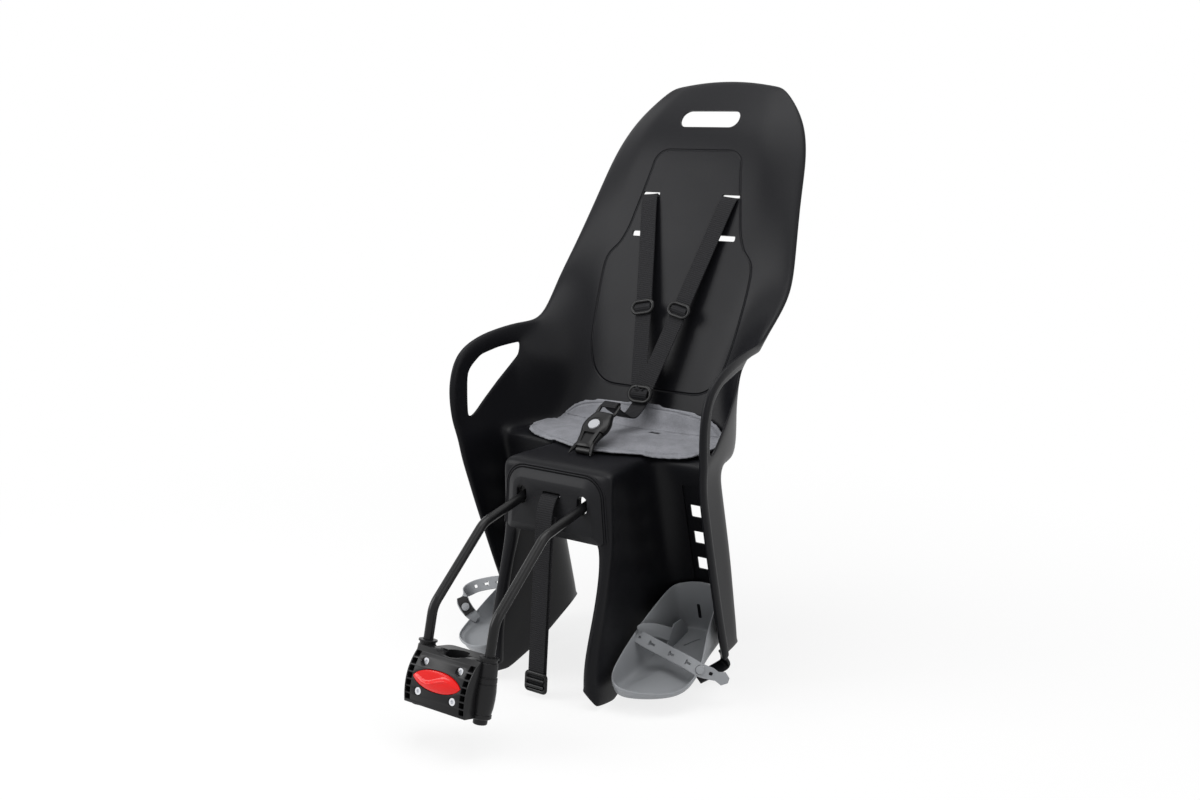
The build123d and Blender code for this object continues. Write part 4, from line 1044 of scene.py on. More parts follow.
@dataclass
class Harness:
    """The shoulder straps, their rings, the joiner and the strap to the buckle's tongue."""

    slot: tuple[float, float] = (64.0, 334.5)
    joiner_up: float = 50.0
    joiner_out: float = 27.0
    ring_at: float = 0.6
    ring_size: tuple[float, float] = (37.0, 22.0)
    joiner_size: tuple[float, float] = (39.0, 26.0)

    def shoulder(self, name: str, side: int) -> None:
        """Adds one shoulder strap with its ring.

        Args:
            name: left or right.
            side: 1 for the child's left and -1 for the right.
        """
        start = on_back(side * self.slot[0], self.slot[1], 2.5)
        end = on_back(side * 6.5, self.joiner_up + 12, self.joiner_out - 1.5 + side * 1.2)
        run = end - start
        wide = run.cross(BACK_OUT).normalized()
        if wide.x < 0:
            wide.negate()
        out = wide.cross(-run).normalized()
        ring_spot = start + run * self.ring_at
        reach = run.normalized()
        path = [on_back(side * 64, 335.5, -11), on_back(side * 64, 335.5, -3), start + reach * 9 + out * 1.2,
                start + run * 0.3 + out * 0.4, ring_spot - reach * 26, ring_spot - reach * 9 - out * 0.6,
                ring_spot + out * 3.4, ring_spot + reach * 9 - out * 0.6, ring_spot + reach * 24, end,
                on_back(side * 2.5, self.joiner_up + 3, self.joiner_out - 2.5 + side * 1.2)]
        across = [SIDEWAYS] * 2 + [wide] * (len(path) - 2)
        strap = Ribbon(f"{name}_harness_strap", path, across).build()
        dress(strap, Slot.WEBBING, "seat", f"{name}_shoulder_strap")
        face = Face(ring_spot, wide, -reach)
        ring = oval_ring(f"{name}_harness_ring", face, self.ring_size, 2.3, 2.3, 0.7)
        dress(ring, Slot.BUCKLE, "seat", f"{name}_strap_adjuster")

    def build(self) -> None:
        """Adds the harness."""
        self.shoulder("right", -1)
        self.shoulder("left", 1)
        face = Face(on_back(0, self.joiner_up, self.joiner_out), SIDEWAYS, BACK_UP)
        ring = oval_ring("joiner_ring", face, self.joiner_size, 2.8, 0.6, 0)
        dress(ring, Slot.BUCKLE, "seat", "harness_joiner")
        bulge = [face.at(0, y, z) for y, z in ((9, -3.2), (7.5, 0.5), (3.5, 3.4), (0, 4.2), (-3.5, 3.4), (-7.5, 0.5),
                                               (-9, -3.2))]
        loop = Ribbon("joiner_loop", bulge, [SIDEWAYS] * 7, 26, 1.6, 1.5).build()
        dress(loop, Slot.WEBBING, "seat")
        low = BUCKLE_FACE
        path = [low.at(0, 79, 2.6), low.at(0, 85, 2.6), low.at(0, 90, 1.0), low.at(0, 91, -2.4), low.at(0, 86, -5.6),
                Vector((0, 338, 250)), Vector((0, 356, 241)), Vector((0, 371, 243)), face.at(0, -13, -2.6),
                face.at(0, -5, -4.4)]
        strap = Ribbon("tongue_webbing", path, [SIDEWAYS] * len(path), 24, 1.8).build()
        dress(strap, Slot.WEBBING, "seat", "tongue_strap")


BUCKLE_LEAN = math.radians(35)
BUCKLE_FACE = Face(Vector((0, 250, 214.5)), SIDEWAYS,
                   Vector((0, math.cos(BUCKLE_LEAN), math.sin(BUCKLE_LEAN))))


@dataclass
class Buckle:
    """The moulded buckle round its button, with the tongue in its mouth."""

    stations: tuple[tuple[float, float, float], ...] = (
        (9, 13.8, 3.4), (13, 13.4, 4.6), (20, 14.2, 5.4), (29, 15.8, 6.4), (35, 17.6, 7.1), (41, 19.6, 7.6),
        (47, 20.1, 7.7), (54, 19.0, 7.5), (61, 16.4, 6.7), (66, 15.0, 5.7), (68.5, 14.2, 4.7))
    prong: tuple[tuple[float, float, float, float], ...] = (
        (11, 16, 0, 3.0), (12.8, 10, 0, 2.8), (15.2, 3, -0.8, 2.2), (16.8, -2, -1.6, 0.9))
    press_at: float = 44.0
    press_room: float = 8.6
    round_share: float = 2.8
    sides: int = 40

    def body(self) -> bpy.types.Object:
        """The hourglass body with its pocket, window, side tabs and prongs."""
        rows = curve(self.stations, 1.2)
        points = []
        for along, wide, high in rows:
            for k in range(self.sides):
                angle = 2 * math.pi * k / self.sides
                c, s = math.cos(angle), math.sin(angle)
                power = 2 / self.round_share
                points.append(BUCKLE_FACE.at(math.copysign(abs(c) ** power, c) * wide, along,
                                             math.copysign(abs(s) ** power, s) * high))
        body = lofted("buckle_shell", points, self.sides)
        circle = rounded(2 * self.press_room, 2 * self.press_room, self.press_room, (0, self.press_at), 10)
        ditch = rounded(24.5, 24.5, 12.25, (0, self.press_at), 10)
        cutters = [BUCKLE_FACE.prism("pocket", circle, 0.9, 14), BUCKLE_FACE.prism("dish", ditch, 7.0, 14),
                   BUCKLE_FACE.prism("window", [(-6, 15), (6, 15), (8.4, 31), (-8.4, 31)], 4.0, 14)]
        for side in (-1, 1):
            slit = [(side * 11.2, 17), (side * 12.6, 17), (side * 14.6, 34), (side * 13.1, 34)]
            gap = [(side * 13.1, 33), (side * 22, 33.4), (side * 22, 35), (side * 13.1, 34.8)]
            for name, outline in (("slit", slit), ("gap", gap)):
                cutters.append(BUCKLE_FACE.prism(name, outline if side > 0 else outline[::-1], -1.5, 14))
        for cutter in cutters:
            cut(body, [cutter])
        prongs = []
        for side in (-1, 1):
            path = [BUCKLE_FACE.at(side * x, y, z) for x, y, z, _ in self.prong]
            prongs.append(tube("prong", path, [row[3] for row in self.prong], BUCKLE_FACE.out, False, 0.9, 12))
        body = joined("buckle_shell", [body, *prongs])
        smooth(body, 35)
        return body

    def build(self) -> None:
        """Adds the buckle and the tongue."""
        dress(self.body(), Slot.BUCKLE, "seat", "buckle_body")
        foot = [Vector((0, 268, 210.6)), Vector((0, 258, 211.4)), BUCKLE_FACE.at(0, 6, -2.4), BUCKLE_FACE.at(0, 16, -1),
                BUCKLE_FACE.at(0, 26, -1)]
        anchor = Ribbon("crotch_foot", foot, [SIDEWAYS] * 5, 22, 2.2).build()
        dress(anchor, Slot.BUCKLE, "seat", "crotch_anchor")
        path = [BUCKLE_FACE.at(x, y + 77, -1.0) for x, y in rounded(28, 18, 4.5, steps=6)]
        frame_ring = tube("tongue_frame", path, 2.6, BUCKLE_FACE.out, True, 0.8)
        blade = BUCKLE_FACE.prism("blade", rounded(24, 16, 2, (0, 64)), -3.0, -0.6)
        tongue = joined("tongue_frame", [frame_ring, blade])
        smooth(tongue, 40)
        dress(tongue, Slot.BUCKLE, "seat", "buckle_tongue")


@dataclass
class FrontPlate:
    """The raised plate on the bridge, with the slots for the rods and the safety strap, and the bead round it."""

    outline: tuple[tuple[float, float], ...] = ((-76, 117), (76, 117), (69.5, 200), (-69.5, 200))
    corners: tuple[float, ...] = (7.0, 7.0, 25.0, 25.0)
    steps: tuple[tuple[float, float], ...] = ((0, 0), (0, 2.2), (0.7, 3.0), (10.5, 8.0), (11.4, 8.4))
    rod_x: float = 47.0
    rod_z: float = 164.6
    strap_z: float = 172.5
    beads: tuple[Point, ...] = ((-1.6, 0.6, 1.5), (-4.6, 0.2, 1.3))
    bead_foot: float = 122.0

    def ring(self, inset: float, per_corner: int = 9) -> list[tuple[float, float]]:
        """The plate's outline, drawn in by an inset.

        Args:
            inset: how far in it lies.
            per_corner: the points at each corner.

        Returns:
            The points, anticlockwise.
        """
        points = []
        count = len(self.outline)
        for i, corner in enumerate(self.outline):
            here = Vector(corner)
            back = (Vector(self.outline[i - 1]) - here).normalized()
            ahead = (Vector(self.outline[(i + 1) % count]) - here).normalized()
            half = math.acos(max(-1, min(1, back.dot(ahead)))) / 2
            inward = (back + ahead).normalized()
            radius = self.corners[i]
            middle = here + inward * (radius / math.sin(half))
            size = max(0.8, radius - inset)
            middle += inward * (max(0.0, inset + size - radius) / math.sin(half))
            first = Vector((back.y, -back.x))
            if first.dot(inward) > 0:
                first.negate()
            second = Vector((ahead.y, -ahead.x))
            if second.dot(inward) > 0:
                second.negate()
            for k in range(per_corner):
                arm = first.lerp(second, k / (per_corner - 1)).normalized()
                points.append(tuple(middle + arm * size))
        return points

    def build(self) -> None:
        """Adds the plate and its bead."""
        rings = [[FRONT.at(x, z, out) for x, z in self.ring(inset)] for inset, out in self.steps]
        plate = lofted("front_plate", [p for ring in rings for p in ring], len(rings[0]))
        for side in (-1, 1):
            slot = rounded(15, 23, 7.4, (side * self.rod_x, self.rod_z + 2), 9)
            cut(plate, [FRONT.prism("rod_slot", slot, -4, 12)])
        cut(plate, [FRONT.prism("strap_slot", rounded(26.6, 6.5, 1.5, (0, self.strap_z)), -4, 12)])
        apply(plate, "BEVEL", width=0.7 * MM, segments=3, limit_method="ANGLE", angle_limit=math.radians(32))
        smooth(plate, 35)
        dress(plate, Slot.PLATE, "seat", "mounting_plate")
        for number, (inset, out, radius) in enumerate(self.beads):
            outer = [(x, z) for x, z in self.ring(inset) if z > self.rod_z]
            low = self.outline[1][0] - inset - 0.4
            outer = [(low, self.bead_foot), *outer, (-low, self.bead_foot)]
            path = [FRONT.at(x, z, out) for x, z in outer]
            bead = tube(f"plate_bead_{number}", path, radius, FRONT.out, False, 1, 10)
            smooth(bead, 60)
            dress(bead, Slot.SHELL, "seat")


TUBE_LEAN = math.radians(15)
TUBE_UP = Vector((0, math.sin(TUBE_LEAN), math.cos(TUBE_LEAN)))
TUBE_BACK = Vector((0, math.cos(TUBE_LEAN), -math.sin(TUBE_LEAN)))
BLOCK_FRONT = Face(Vector((0, 0, 0)), SIDEWAYS, TUBE_UP)
BLOCK_TOP = Face(Vector((0, 0, 0)), SIDEWAYS, TUBE_BACK)


def lens(half: float, rise: float, count: int = 64) -> list[tuple[float, float]]:
    """The release button's outline: a lens with rounded tips, anticlockwise from its child's-left tip."""
    points = []
    for k in range(count):
        angle = 2 * math.pi * k / count
        x = math.cos(angle)
        y = math.copysign(max(0.0, 1 - abs(x) ** 2.3) ** 0.72, math.sin(angle))
        points.append((half * x, rise * y))
    return points


@dataclass
class ClampBlock:
    """The front of the clamp block: arched cover, rib cells, barrels for the rods, and the red button."""

    cover_half: float = 46.0
    top: float = 27.0
    bottom: float = -38.0
    arch: tuple[tuple[float, float], ...] = (
        (-14, 27), (-20.5, 20), (-25.6, 11.5), (-29.4, 2), (-31.2, -8), (-31.4, -18), (-30.2, -28), (-28, -38))
    barrel: tuple[tuple[float, float], ...] = (
        (0.05, -45), (7.6, -45), (8.5, -44), (8.5, -38.6), (11.2, -38.2), (12.2, -37.2), (12.2, -33.6), (11.4, -33),
        (12.8, -26), (13.6, -16), (13.6, -6), (12.9, 1.4), (12.9, 2), (12.3, 2.2), (12.3, 3.6), (12.9, 3.8),
        (12.6, 8.8), (11.6, 9.2), (11.6, 10.6), (12.0, 11), (11.4, 20), (10.9, 25.6), (9.6, 26.8), (9.6, 29.6),
        (11.2, 30), (11.4, 31), (11.2, 32), (8.2, 32.4), (6.3, 32.2), (6.1, 31.4), (6.1, -41), (0.05, -41))
    rod_x: float = 47.0
    screws: tuple[tuple[float, float, float], ...] = ((26, 12, 17.5), (26, -22, 25))
    cell: tuple[float, float, float] = (7.4, 6.7, 8.2)
    button_z: float = -5.5
    button_half: float = 35.4
    button_rise: float = 11.9
    button_rim: float = 30.4
    button_foot: float = 26.0
    button_shares: tuple[float, ...] = (
        0.04, 0.12, 0.2, 0.28, 0.36, 0.44, 0.52, 0.6, 0.68, 0.76, 0.83, 0.89, 0.94, 0.975, 1)
    wave_rise: float = 4.4
    wave_run: float = 30.0
    spring_room: float = 5.2
    pocket: float = 17.8

    def cover(self) -> bpy.types.Object:
        """The arched cover with its cells, screw wells, button pocket and half of the tube channel."""
        outline = [(-0.5, self.bottom), (-0.5, self.top), *((p.x, p.y) for p in curve(
            [(u, v, 0) for u, v in self.arch], 2.5))]
        side = Face(Vector((-self.cover_half, 0, 0)), TUBE_BACK, TUBE_UP)
        cover = side.prism("block_cover", outline, 0, 2 * self.cover_half)
        turn_out(cover)
        wide, high, pitch = self.cell
        blocks = [BLOCK_TOP.prism("channel", rounded(28.6, 28.6, 14.3, steps=12), -60, 60),
                  BLOCK_FRONT.prism("scoop", rounded(120, 120, 60, (0, 82.5), 24), -5, 60)]
        pocket = [(x, z + self.button_z) for x, z in lens(self.button_half + 0.7, self.button_rise + 0.7)]
        blocks.append(BLOCK_FRONT.prism("pocket", pocket, self.pocket, 60))
        for sign in (-1, 1):
            blocks.append(BLOCK_TOP.prism("bore", rounded(12.2, 12.2, 6.1, (sign * self.rod_x, 0), 8), -60, 60))
            for k in range(7):
                spot = (sign * (self.cover_half - 1.5 - wide / 2), -6.5 + (k - 3) * pitch)
                blocks.append(BLOCK_FRONT.prism("cell", rounded(wide, high, 0.6, spot, 2), 14.5, 60))
            for x, z, floor in self.screws:
                blocks.append(BLOCK_FRONT.prism("well", rounded(10.6, 10.6, 5.3, (sign * x, z), 8), floor, 60))
                blocks.append(BLOCK_FRONT.prism("way", rounded(5.5, 5.5, 2.75, (sign * x, z), 5), -5, 60))
        for block in blocks:
            cut(cover, [block])
        apply(cover, "BEVEL", width=0.5 * MM, segments=2, limit_method="ANGLE", angle_limit=math.radians(40))
        return cover

    def lathe(self, sign: int, sides: int = 40) -> bpy.types.Object:
        """One rod's barrel, turned about the rod.

        Args:
            sign: 1 for the child's left and -1 for the right.
            sides: how many sides it has.

        Returns:
            The barrel.
        """
        points = []
        for radius, height in self.barrel:
            for k in range(sides):
                angle = 2 * math.pi * k / sides
                across = sign * self.rod_x + radius * math.cos(angle)
                points.append(BLOCK_TOP.at(across, radius * math.sin(angle), height))
        return lofted("barrel", points, sides)

    def button(self) -> bpy.types.Object:
        """The lens-shaped button with the S-shaped rise moulded on it."""
        outline = lens(self.button_half, self.button_rise, 96)
        points = []
        for share in self.button_shares:
            for x, y in outline:
                px, py = x * share, y * share
                wave = self.wave_rise * math.sin(math.pi * px / self.wave_run)
                dome = 1 - share ** 3
                fall = math.tanh((wave - py) / 2.4)
                crest = math.exp(-((py - wave) / 2.0) ** 2)
                high = self.button_rim + 0.8 + dome * (2.4 + 1.5 * fall + 2.0 * crest)
                points.append(BLOCK_FRONT.at(px, py + self.button_z, high))
        for high in (self.button_rim, self.button_foot):
            points += [BLOCK_FRONT.at(x, y + self.button_z, high) for x, y in outline]
        button = lofted("red_button", points, len(outline))
        room = rounded(2 * self.spring_room, 2 * self.spring_room, self.spring_room, (0, self.button_z), 8)
        cut(button, [BLOCK_FRONT.prism("spring_room", room, self.button_foot - 6, self.button_rim + 0.3)])
        smooth(button, 60)
        return button

    def build(self) -> None:
        """Adds the block's front and the button."""
        block = joined("block_front", [self.cover(), self.lathe(-1), self.lathe(1)])
        smooth(block, 30)
        dress(block, Slot.BLOCK, "clamp", "clamp_body")
        dress(self.button(), Slot.RED, "button", "release_button")


@dataclass
class SeatPad:
    """The felt pad that lies on the pan and runs up the foot of the back."""

    half: tuple[tuple[float, float], ...] = (
        (0, 265), (20, 266.5), (38, 271), (58, 279), (78, 287), (96, 295), (112, 301), (127, 306), (138, 316),
        (143, 335), (143, 360), (139, 388), (127, 411), (101, 426), (52, 433), (0, 434))
    bend_at: float = 376.0
    bend_radius: float = 24.0
    floor: float = 210.5
    thick: float = 7.0
    limit: float = 6.0
    seam: float = 8.0
    crease_at: float = 386.0
    crease_bow: float = 0.0007
    drop_from: tuple[float, float] = (70.0, 318.0)
    drop_over: float = 44.0
    side_from: float = 122.0
    slot: tuple[float, float, float, float] = (36, 372, 16, 10)

    def outline(self) -> list[tuple[float, float]]:
        """The flat pad's outline, anticlockwise."""
        line = [(p.x, p.y) for p in curve([(x, y, 0) for x, y in self.half], 6)]
        return line + [(-x, y) for x, y in reversed(line[1:-1])]

    def inflate(self, obj: bpy.types.Object, edge: list[tuple[float, float]]) -> None:
        """Fills the pad by a cloth simulation that holds its rim, and keeps the result.

        Args:
            obj: the flat pad.
            edge: its outline.
        """
        rim = obj.vertex_groups.new(name="rim")
        near = [v.index for v in obj.data.vertices if self.reach(v.co / MM, edge) < 3.5]
        rim.add(near, 1, "REPLACE")
        cloth = obj.modifiers.new("fill", "CLOTH")
        cloth.settings.use_pressure = True
        cloth.settings.uniform_pressure_force = 4
        cloth.settings.effector_weights.gravity = 0
        cloth.settings.vertex_group_mass = "rim"
        for number in range(1, 21):
            bpy.context.scene.frame_set(number)
        shape = obj.evaluated_get(bpy.context.evaluated_depsgraph_get()).to_mesh()
        moved = [v.co.copy() for v in shape.vertices]
        obj.modifiers.remove(cloth)
        bpy.context.scene.frame_set(1)
        for vertex, place in zip(obj.data.vertices, moved):
            step = place - vertex.co
            if step.length > self.limit * MM:
                step *= self.limit * MM / step.length
            vertex.co += step
            vertex.co.z = max(vertex.co.z, 0)

    def reach(self, place: Vector, edge: list[tuple[float, float]]) -> float:
        """How far a point lies from the outline, in millimetres."""
        far = 1000.0
        for a, b in zip(edge, edge[1:] + edge[:1]):
            ax, ay, dx, dy = a[0], a[1], b[0] - a[0], b[1] - a[1]
            share = min(1.0, max(0.0, ((place.x - ax) * dx + (place.y - ay) * dy) / (dx * dx + dy * dy)))
            far = min(far, math.hypot(place.x - ax - dx * share, place.y - ay - dy * share))
        return far

    def lay(self, place: Vector) -> Vector:
        """Where a point of the flat pad comes to lie on the pan, the lip and the back.

        Args:
            place: the point, with its height over the pad's foot.

        Returns:
            The point on the seat.
        """
        x, y, high = place
        full = math.pi / 2 - RECLINE
        if y > self.bend_at:
            angle = min(full, (y - self.bend_at) / self.bend_radius)
            rest = max(0.0, y - self.bend_at - full * self.bend_radius)
            inner = self.bend_radius - high
            return Vector((x, self.bend_at + inner * math.sin(angle) + rest * math.cos(full),
                           self.floor + self.bend_radius - inner * math.cos(angle) + rest * math.sin(full)))
        far, near = self.drop_from
        drop = max(0.0, near - y) ** 2 / 60 * min(1.0, max(0.0, (abs(x) - far) / self.drop_over))
        side = max(0.0, abs(x) - self.side_from) ** 2 / 70
        return Vector((x, y, self.floor + high - drop + side))

    def build(self) -> None:
        """Cuts, fills and lays the pad."""
        edge = self.outline()
        inner = [(x * 0.985, 340 + (y - 340) * 0.98) for x, y in edge]
        pad = GROUND.prism("felt_pad", inner, 1, self.thick)
        apply(pad, "REMESH", mode="VOXEL", voxel_size=0.004)
        apply(pad, "SMOOTH", factor=0.5, iterations=8)
        self.inflate(pad, inner)
        apply(pad, "SUBSURF", levels=1, render_levels=1)
        layer = pad.data.attributes.new("seam", "FLOAT", "POINT")
        for vertex in pad.data.vertices:
            place = vertex.co / MM
            off = abs(self.reach(place, inner) - self.seam)
            crease = abs(place.y - self.crease_at - self.crease_bow * place.x ** 2)
            layer.data[vertex.index].value = min(off, crease) * MM
            vertex.co = self.lay(place) * MM
        x, y, wide, high = self.slot
        top = Face(self.lay(Vector((x, y, 0))), SIDEWAYS, Vector((0, 1, 0)))
        found, spot, _, _ = pad.ray_cast(top.at(0, 0, 60) * MM, -top.out)
        crown = spot.z / MM - top.origin.z if found else self.thick
        cut(pad, [top.prism("slot", rounded(wide, high, 1.5), 0.6, 40)])
        smooth(pad, 70)
        # a black block fills the slot to just under the felt's crown: partly the black shell under the pad, partly
        # painted shade for the slot's depth
        dress(top.prism("pad_slot", rounded(wide - 0.6, high - 0.6, 1.2), -0.5, crown - 1.2), Slot.SHELL, "seat")
        dress(pad, Slot.FELT, "seat", "seat_pad")


@dataclass
class SafetyStrap:
    """The doubled safety strap that hangs from the plate, with its slide."""

    path: tuple[tuple[float, float], ...] = (
        (205, 172.5), (190, 172.3), (182.5, 167), (175, 148), (170.5, 110), (164, 40), (157.5, -30), (153.6, -76))
    back_gap: float = 2.3
    slide_z: float = -65.0

    def build(self) -> None:
        """Adds both layers of webbing and the slide."""
        front = [Vector((-0.8, y, z)) for y, z in self.path]
        layer = Ribbon("safety_strap_front", front, [SIDEWAYS] * len(front), 25, 1.7).build()
        dress(layer, Slot.WEBBING, "seat", "safety_strap")
        rear = [Vector((1.6, y + self.back_gap, z)) for y, z in self.path[3:]]
        rear[0].y += 3
        layer = Ribbon("safety_strap_rear", rear, [SIDEWAYS] * len(rear), 25, 1.7).build()
        dress(layer, Slot.WEBBING, "seat")
        down = (Vector((0, *self.path[7])) - Vector((0, *self.path[6]))).normalized()
        share = (self.slide_z - self.path[6][1]) / (self.path[7][1] - self.path[6][1])
        face = Face(between((0, *self.path[6]), (0, *self.path[7]), share), SIDEWAYS, -down)
        ring = [face.at(x, y, 0.6) for x, y in rounded(30, 22, 3.5, steps=6)]
        slide = [tube("slide", ring, 2.6, face.out, True, 0.9)]
        for y, lift, radius in ((3.5, 2.6, 1.9), (-4.5, 3.0, 2.2)):
            slide.append(tube("bar", [face.at(x, y, lift) for x in (-14, 0, 14)], radius, face.out))
        obj = joined("safety_slide", slide)
        smooth(obj, 60)
        dress(obj, Slot.BUCKLE, "seat", "safety_strap_slide")


@dataclass(frozen=True)
class FootBand:
    """The strap over one foot, drawn for the child's left."""

    path: tuple[Point, ...]
    across: tuple[Point, ...]
    taper: tuple[float, ...]
    tees: tuple[int, ...]
    eyes: tuple[tuple[int, float], ...]
    stud: int
    clasp: tuple[Point, ...] = ()

    def face(self, number: int) -> Face:
        """The strap's plane at one of its points."""
        along = (Vector(self.path[number + 1]) - Vector(self.path[number - 1])).normalized()
        wide = Vector(self.across[number])
        return Face(Vector(self.path[number]), along, (wide - along * wide.dot(along)).normalized())


@dataclass
class Footrest:
    """One slipper-shaped footrest and the strap over the foot, drawn for the child's left."""

    name: str
    sign: int
    band: FootBand
    floor: float = -64.0
    heel_from: float = 236.0
    heel_rise: float = 0.2
    slot_at: tuple[float, float] = (119.5, -222.0)
    columns: tuple[tuple[float, float, float, float, float], ...] = (
        (95, 362, 94, 344, 31), (88.5, 350, 88, 332, 30), (88, 318, 87, 300, 17), (88, 268, 86.5, 262, 0),
        (88, 226, 87, 222, -22), (90.5, 200, 89, 197, -36), (96, 183.5, 94.5, 180, -45), (115, 171.5, 114.5, 168, -50),
        (142, 182, 144, 178, -52.5), (163, 199, 166.5, 195.5, -54), (174.5, 219, 178.5, 217, -54),
        (175.5, 243, 181.5, 240, -47), (170, 272, 180, 266, -31), (161, 312, 168, 292, -9), (158, 344, 161.5, 326, 16),
        (153, 362, 157, 344, 36), (138, 365, 139, 345.5, 39.5), (116, 365, 116, 345.5, 38))
    wall_steps: tuple[tuple[int, float, float], ...] = (
        (0, 18, 3), (0, 7, 3), (0, 3.2, 7), (1, 3.0, -4), (1, 2.4, 0.2), (1, 0.6, 0.2), (1, 0, -4), (0, 0, 7),
        (0, 1.6, 0.8), (0, 8, -1.2), (0, 18, -1.6))
    middle: tuple[float, float] = (124.0, 278.0)
    slit: tuple[tuple[float, float], ...] = ((118, 316), (120.4, 315), (132, 338), (129.6, 339))
    tee: tuple[tuple[float, float], ...] = (
        (-4.2, -3.2), (-1.8, -3.2), (-1.8, -1.5), (4.2, -1.5), (4.2, 1.5), (-1.8, 1.5), (-1.8, 3.2), (-4.2, 3.2))
    runner_size: tuple[float, float] = (29.0, 46.0)
    runner_at: tuple[float, float] = (130.0, -218.0)
    fin_x: float = 103.5
    fin: tuple[tuple[float, float], ...] = (
        (292, -58), (350, -50), (350, -38), (345, -23), (331, -14), (314, -15), (301, -31))

    def flip(self, obj: bpy.types.Object) -> bpy.types.Object:
        """Mirrors a piece for the child's right."""
        if self.sign < 0:
            for vertex in obj.data.vertices:
                vertex.co.x = -vertex.co.x
            obj.data.flip_normals()
        return obj

    def tray(self) -> bpy.types.Object:
        """The tray: floor, low outer wall, high inner wall and heel plate, one moulding."""
        count = len(self.columns)
        feet = [Vector((x, y, self.floor + max(0.0, y - self.heel_from) * self.heel_rise))
                for x, y, *_ in self.columns]
        tops = [Vector(c[2:]) for c in self.columns]
        rows: list[list[Vector]] = [[] for _ in self.wall_steps]
        for i in range(count):
            ahead = feet[(i + 1) % count] - feet[i - 1]
            inward = Vector((ahead.y, -ahead.x, 0)).normalized()
            if inward.dot(Vector((*self.middle, self.floor)) - feet[i]) < 0:
                inward.negate()
            for row, (upper, inset, rise) in zip(rows, self.wall_steps):
                base = tops[i] if upper else feet[i]
                row.append(base + inward * inset + Vector((0, 0, rise)))
        tray = lofted(f"{self.name}_tray", [p for row in rows for p in row], count)
        apply(tray, "SUBSURF", levels=3, render_levels=3)
        cut(tray, [GROUND.prism("slit", self.slit, self.floor - 6, self.floor + 34)])
        fin = Face(Vector((self.fin_x, 0, 0)), Vector((0, 1, 0)), Vector((0, 0, 1))).prism("fin", self.fin, 0, 2)
        apply(fin, "BEVEL", width=0.6 * MM, segments=2)
        runner = GUARD.prism("runner", rounded(*self.runner_size, 2, self.runner_at), -1.6, 2.2)
        return joined(f"{self.name}_tray", [tray, fin, runner])

    def heel_slot_shade(self, tray: bpy.types.Object) -> bpy.types.Object:
        """The slot in the heel plate, drawn as a thin black piece laid on the plate's face: painted shade standing in
        for the open slot.

        Args:
            tray: the finished tray.

        Returns:
            The piece of painted shade.
        """
        x, y = self.slot_at
        found, spot, _, _ = tray.ray_cast(GUARD.at(x, y, 30) * MM, -GUARD.out)
        proud = (spot / MM - GUARD.origin).dot(GUARD.out) if found else 3.0
        return GUARD.prism(f"{self.name}_heel_slot_shade", rounded(4.6, 22, 1.4, self.slot_at), proud - 1.5, proud + 0.3)

    def build(self) -> None:
        """Adds the tray with its stud, and the strap with its T-shaped holes."""
        body = f"{self.name}_rest"
        band = self.band
        strap = Ribbon(f"{self.name}_foot_band", band.path, band.across, 17.5, 2.3, 2.5, 0.7, band.taper).build()
        face = band.face(band.stud)
        stud = face.prism("stud", rounded(11.0, 11.0, 5.5, (0.5, 0), 8), -4.5, 2.8)
        apply(stud, "BEVEL", width=0.9 * MM, segments=3)
        cutters = [face.prism("hole", rounded(12.0, 12.0, 6.0, steps=8), -8, 8)]
        cutters += [band.face(k).prism("tee", self.tee, -8, 8) for k in band.tees]
        cutters += [band.face(k).prism("eye", rounded(size, size * 0.85, size * 0.3), -8, 8) for k, size in band.eyes]
        for cutter in cutters:
            cut(strap, [cutter])
        smooth(strap, 40)
        dress(self.flip(strap), Slot.BAND, body, f"{self.name}_foot_strap")
        if band.clasp:
            across = [band.across[-1]] * len(band.clasp)
            clasp = Ribbon(f"{self.name}_clasp", band.clasp, across, 16, 4.2, 2, 1).build()
            dress(self.flip(clasp), Slot.BUCKLE, body)
        tray = joined(f"{self.name}_tray", [self.tray(), stud])
        # painted shade: a black piece on the heel plate stands in for the open slot
        dress(self.flip(self.heel_slot_shade(tray)), Slot.SHELL, body)
        smooth(tray, 40)
        dress(self.flip(tray), Slot.TRAY, body, f"{self.name}_footrest")


LEFT_BAND = FootBand(
    ((108, 300, -24), (100, 280, -14), (93, 260, -8), (90.6, 251, -9.5), (94.5, 249, -14), (110.2, 253, -21),
     (123.5, 255.5, -25.8), (138.4, 254.8, -28.9), (151.7, 254.2, -31.3), (165, 251.9, -33), (182.4, 251.2, -37.6),
     (193.4, 258.9, -42.6), (199.5, 263.7, -46.3), (206, 268.3, -49.6), (211.2, 272.4, -52.4)),
    ((0, 0.25, 0.97), (0, 0.25, 0.97), (0, 0.3, 0.95), (0.1, 0.35, 0.93), (0.2, 0.45, 0.87),
     *[(0.25, 0.55, 0.79)] * 10),
    (*[1.0] * 11, 0.9, 0.68, 1.0, 0.4), (5, 7, 9), ((4, 3.4), (11, 5.2)), 10)
RIGHT_BAND = FootBand(
    ((93, 272, -12), (96, 270, -3), (111, 270, 3), (132, 270, 5), (154, 270, 2), (174, 268, -4), (190, 264, -10),
     (199, 257, -16), (201, 249, -21), (197, 243, -26), (189, 240, -33), (179, 241, -42), (172, 245, -48)),
    (*[(0, 0.2, 0.98)] * 7, (-0.1, 0.3, 0.95), (-0.25, 0.45, 0.85), *[(-0.5, 0.67, 0.48)] * 4),
    (*[1.0] * 11, 0.9, 0.7), (3, 4, 5), ((6, 5.2),), 10, ((200, 245.5, -23), (193, 241, -29), (181, 239.5, -40)))


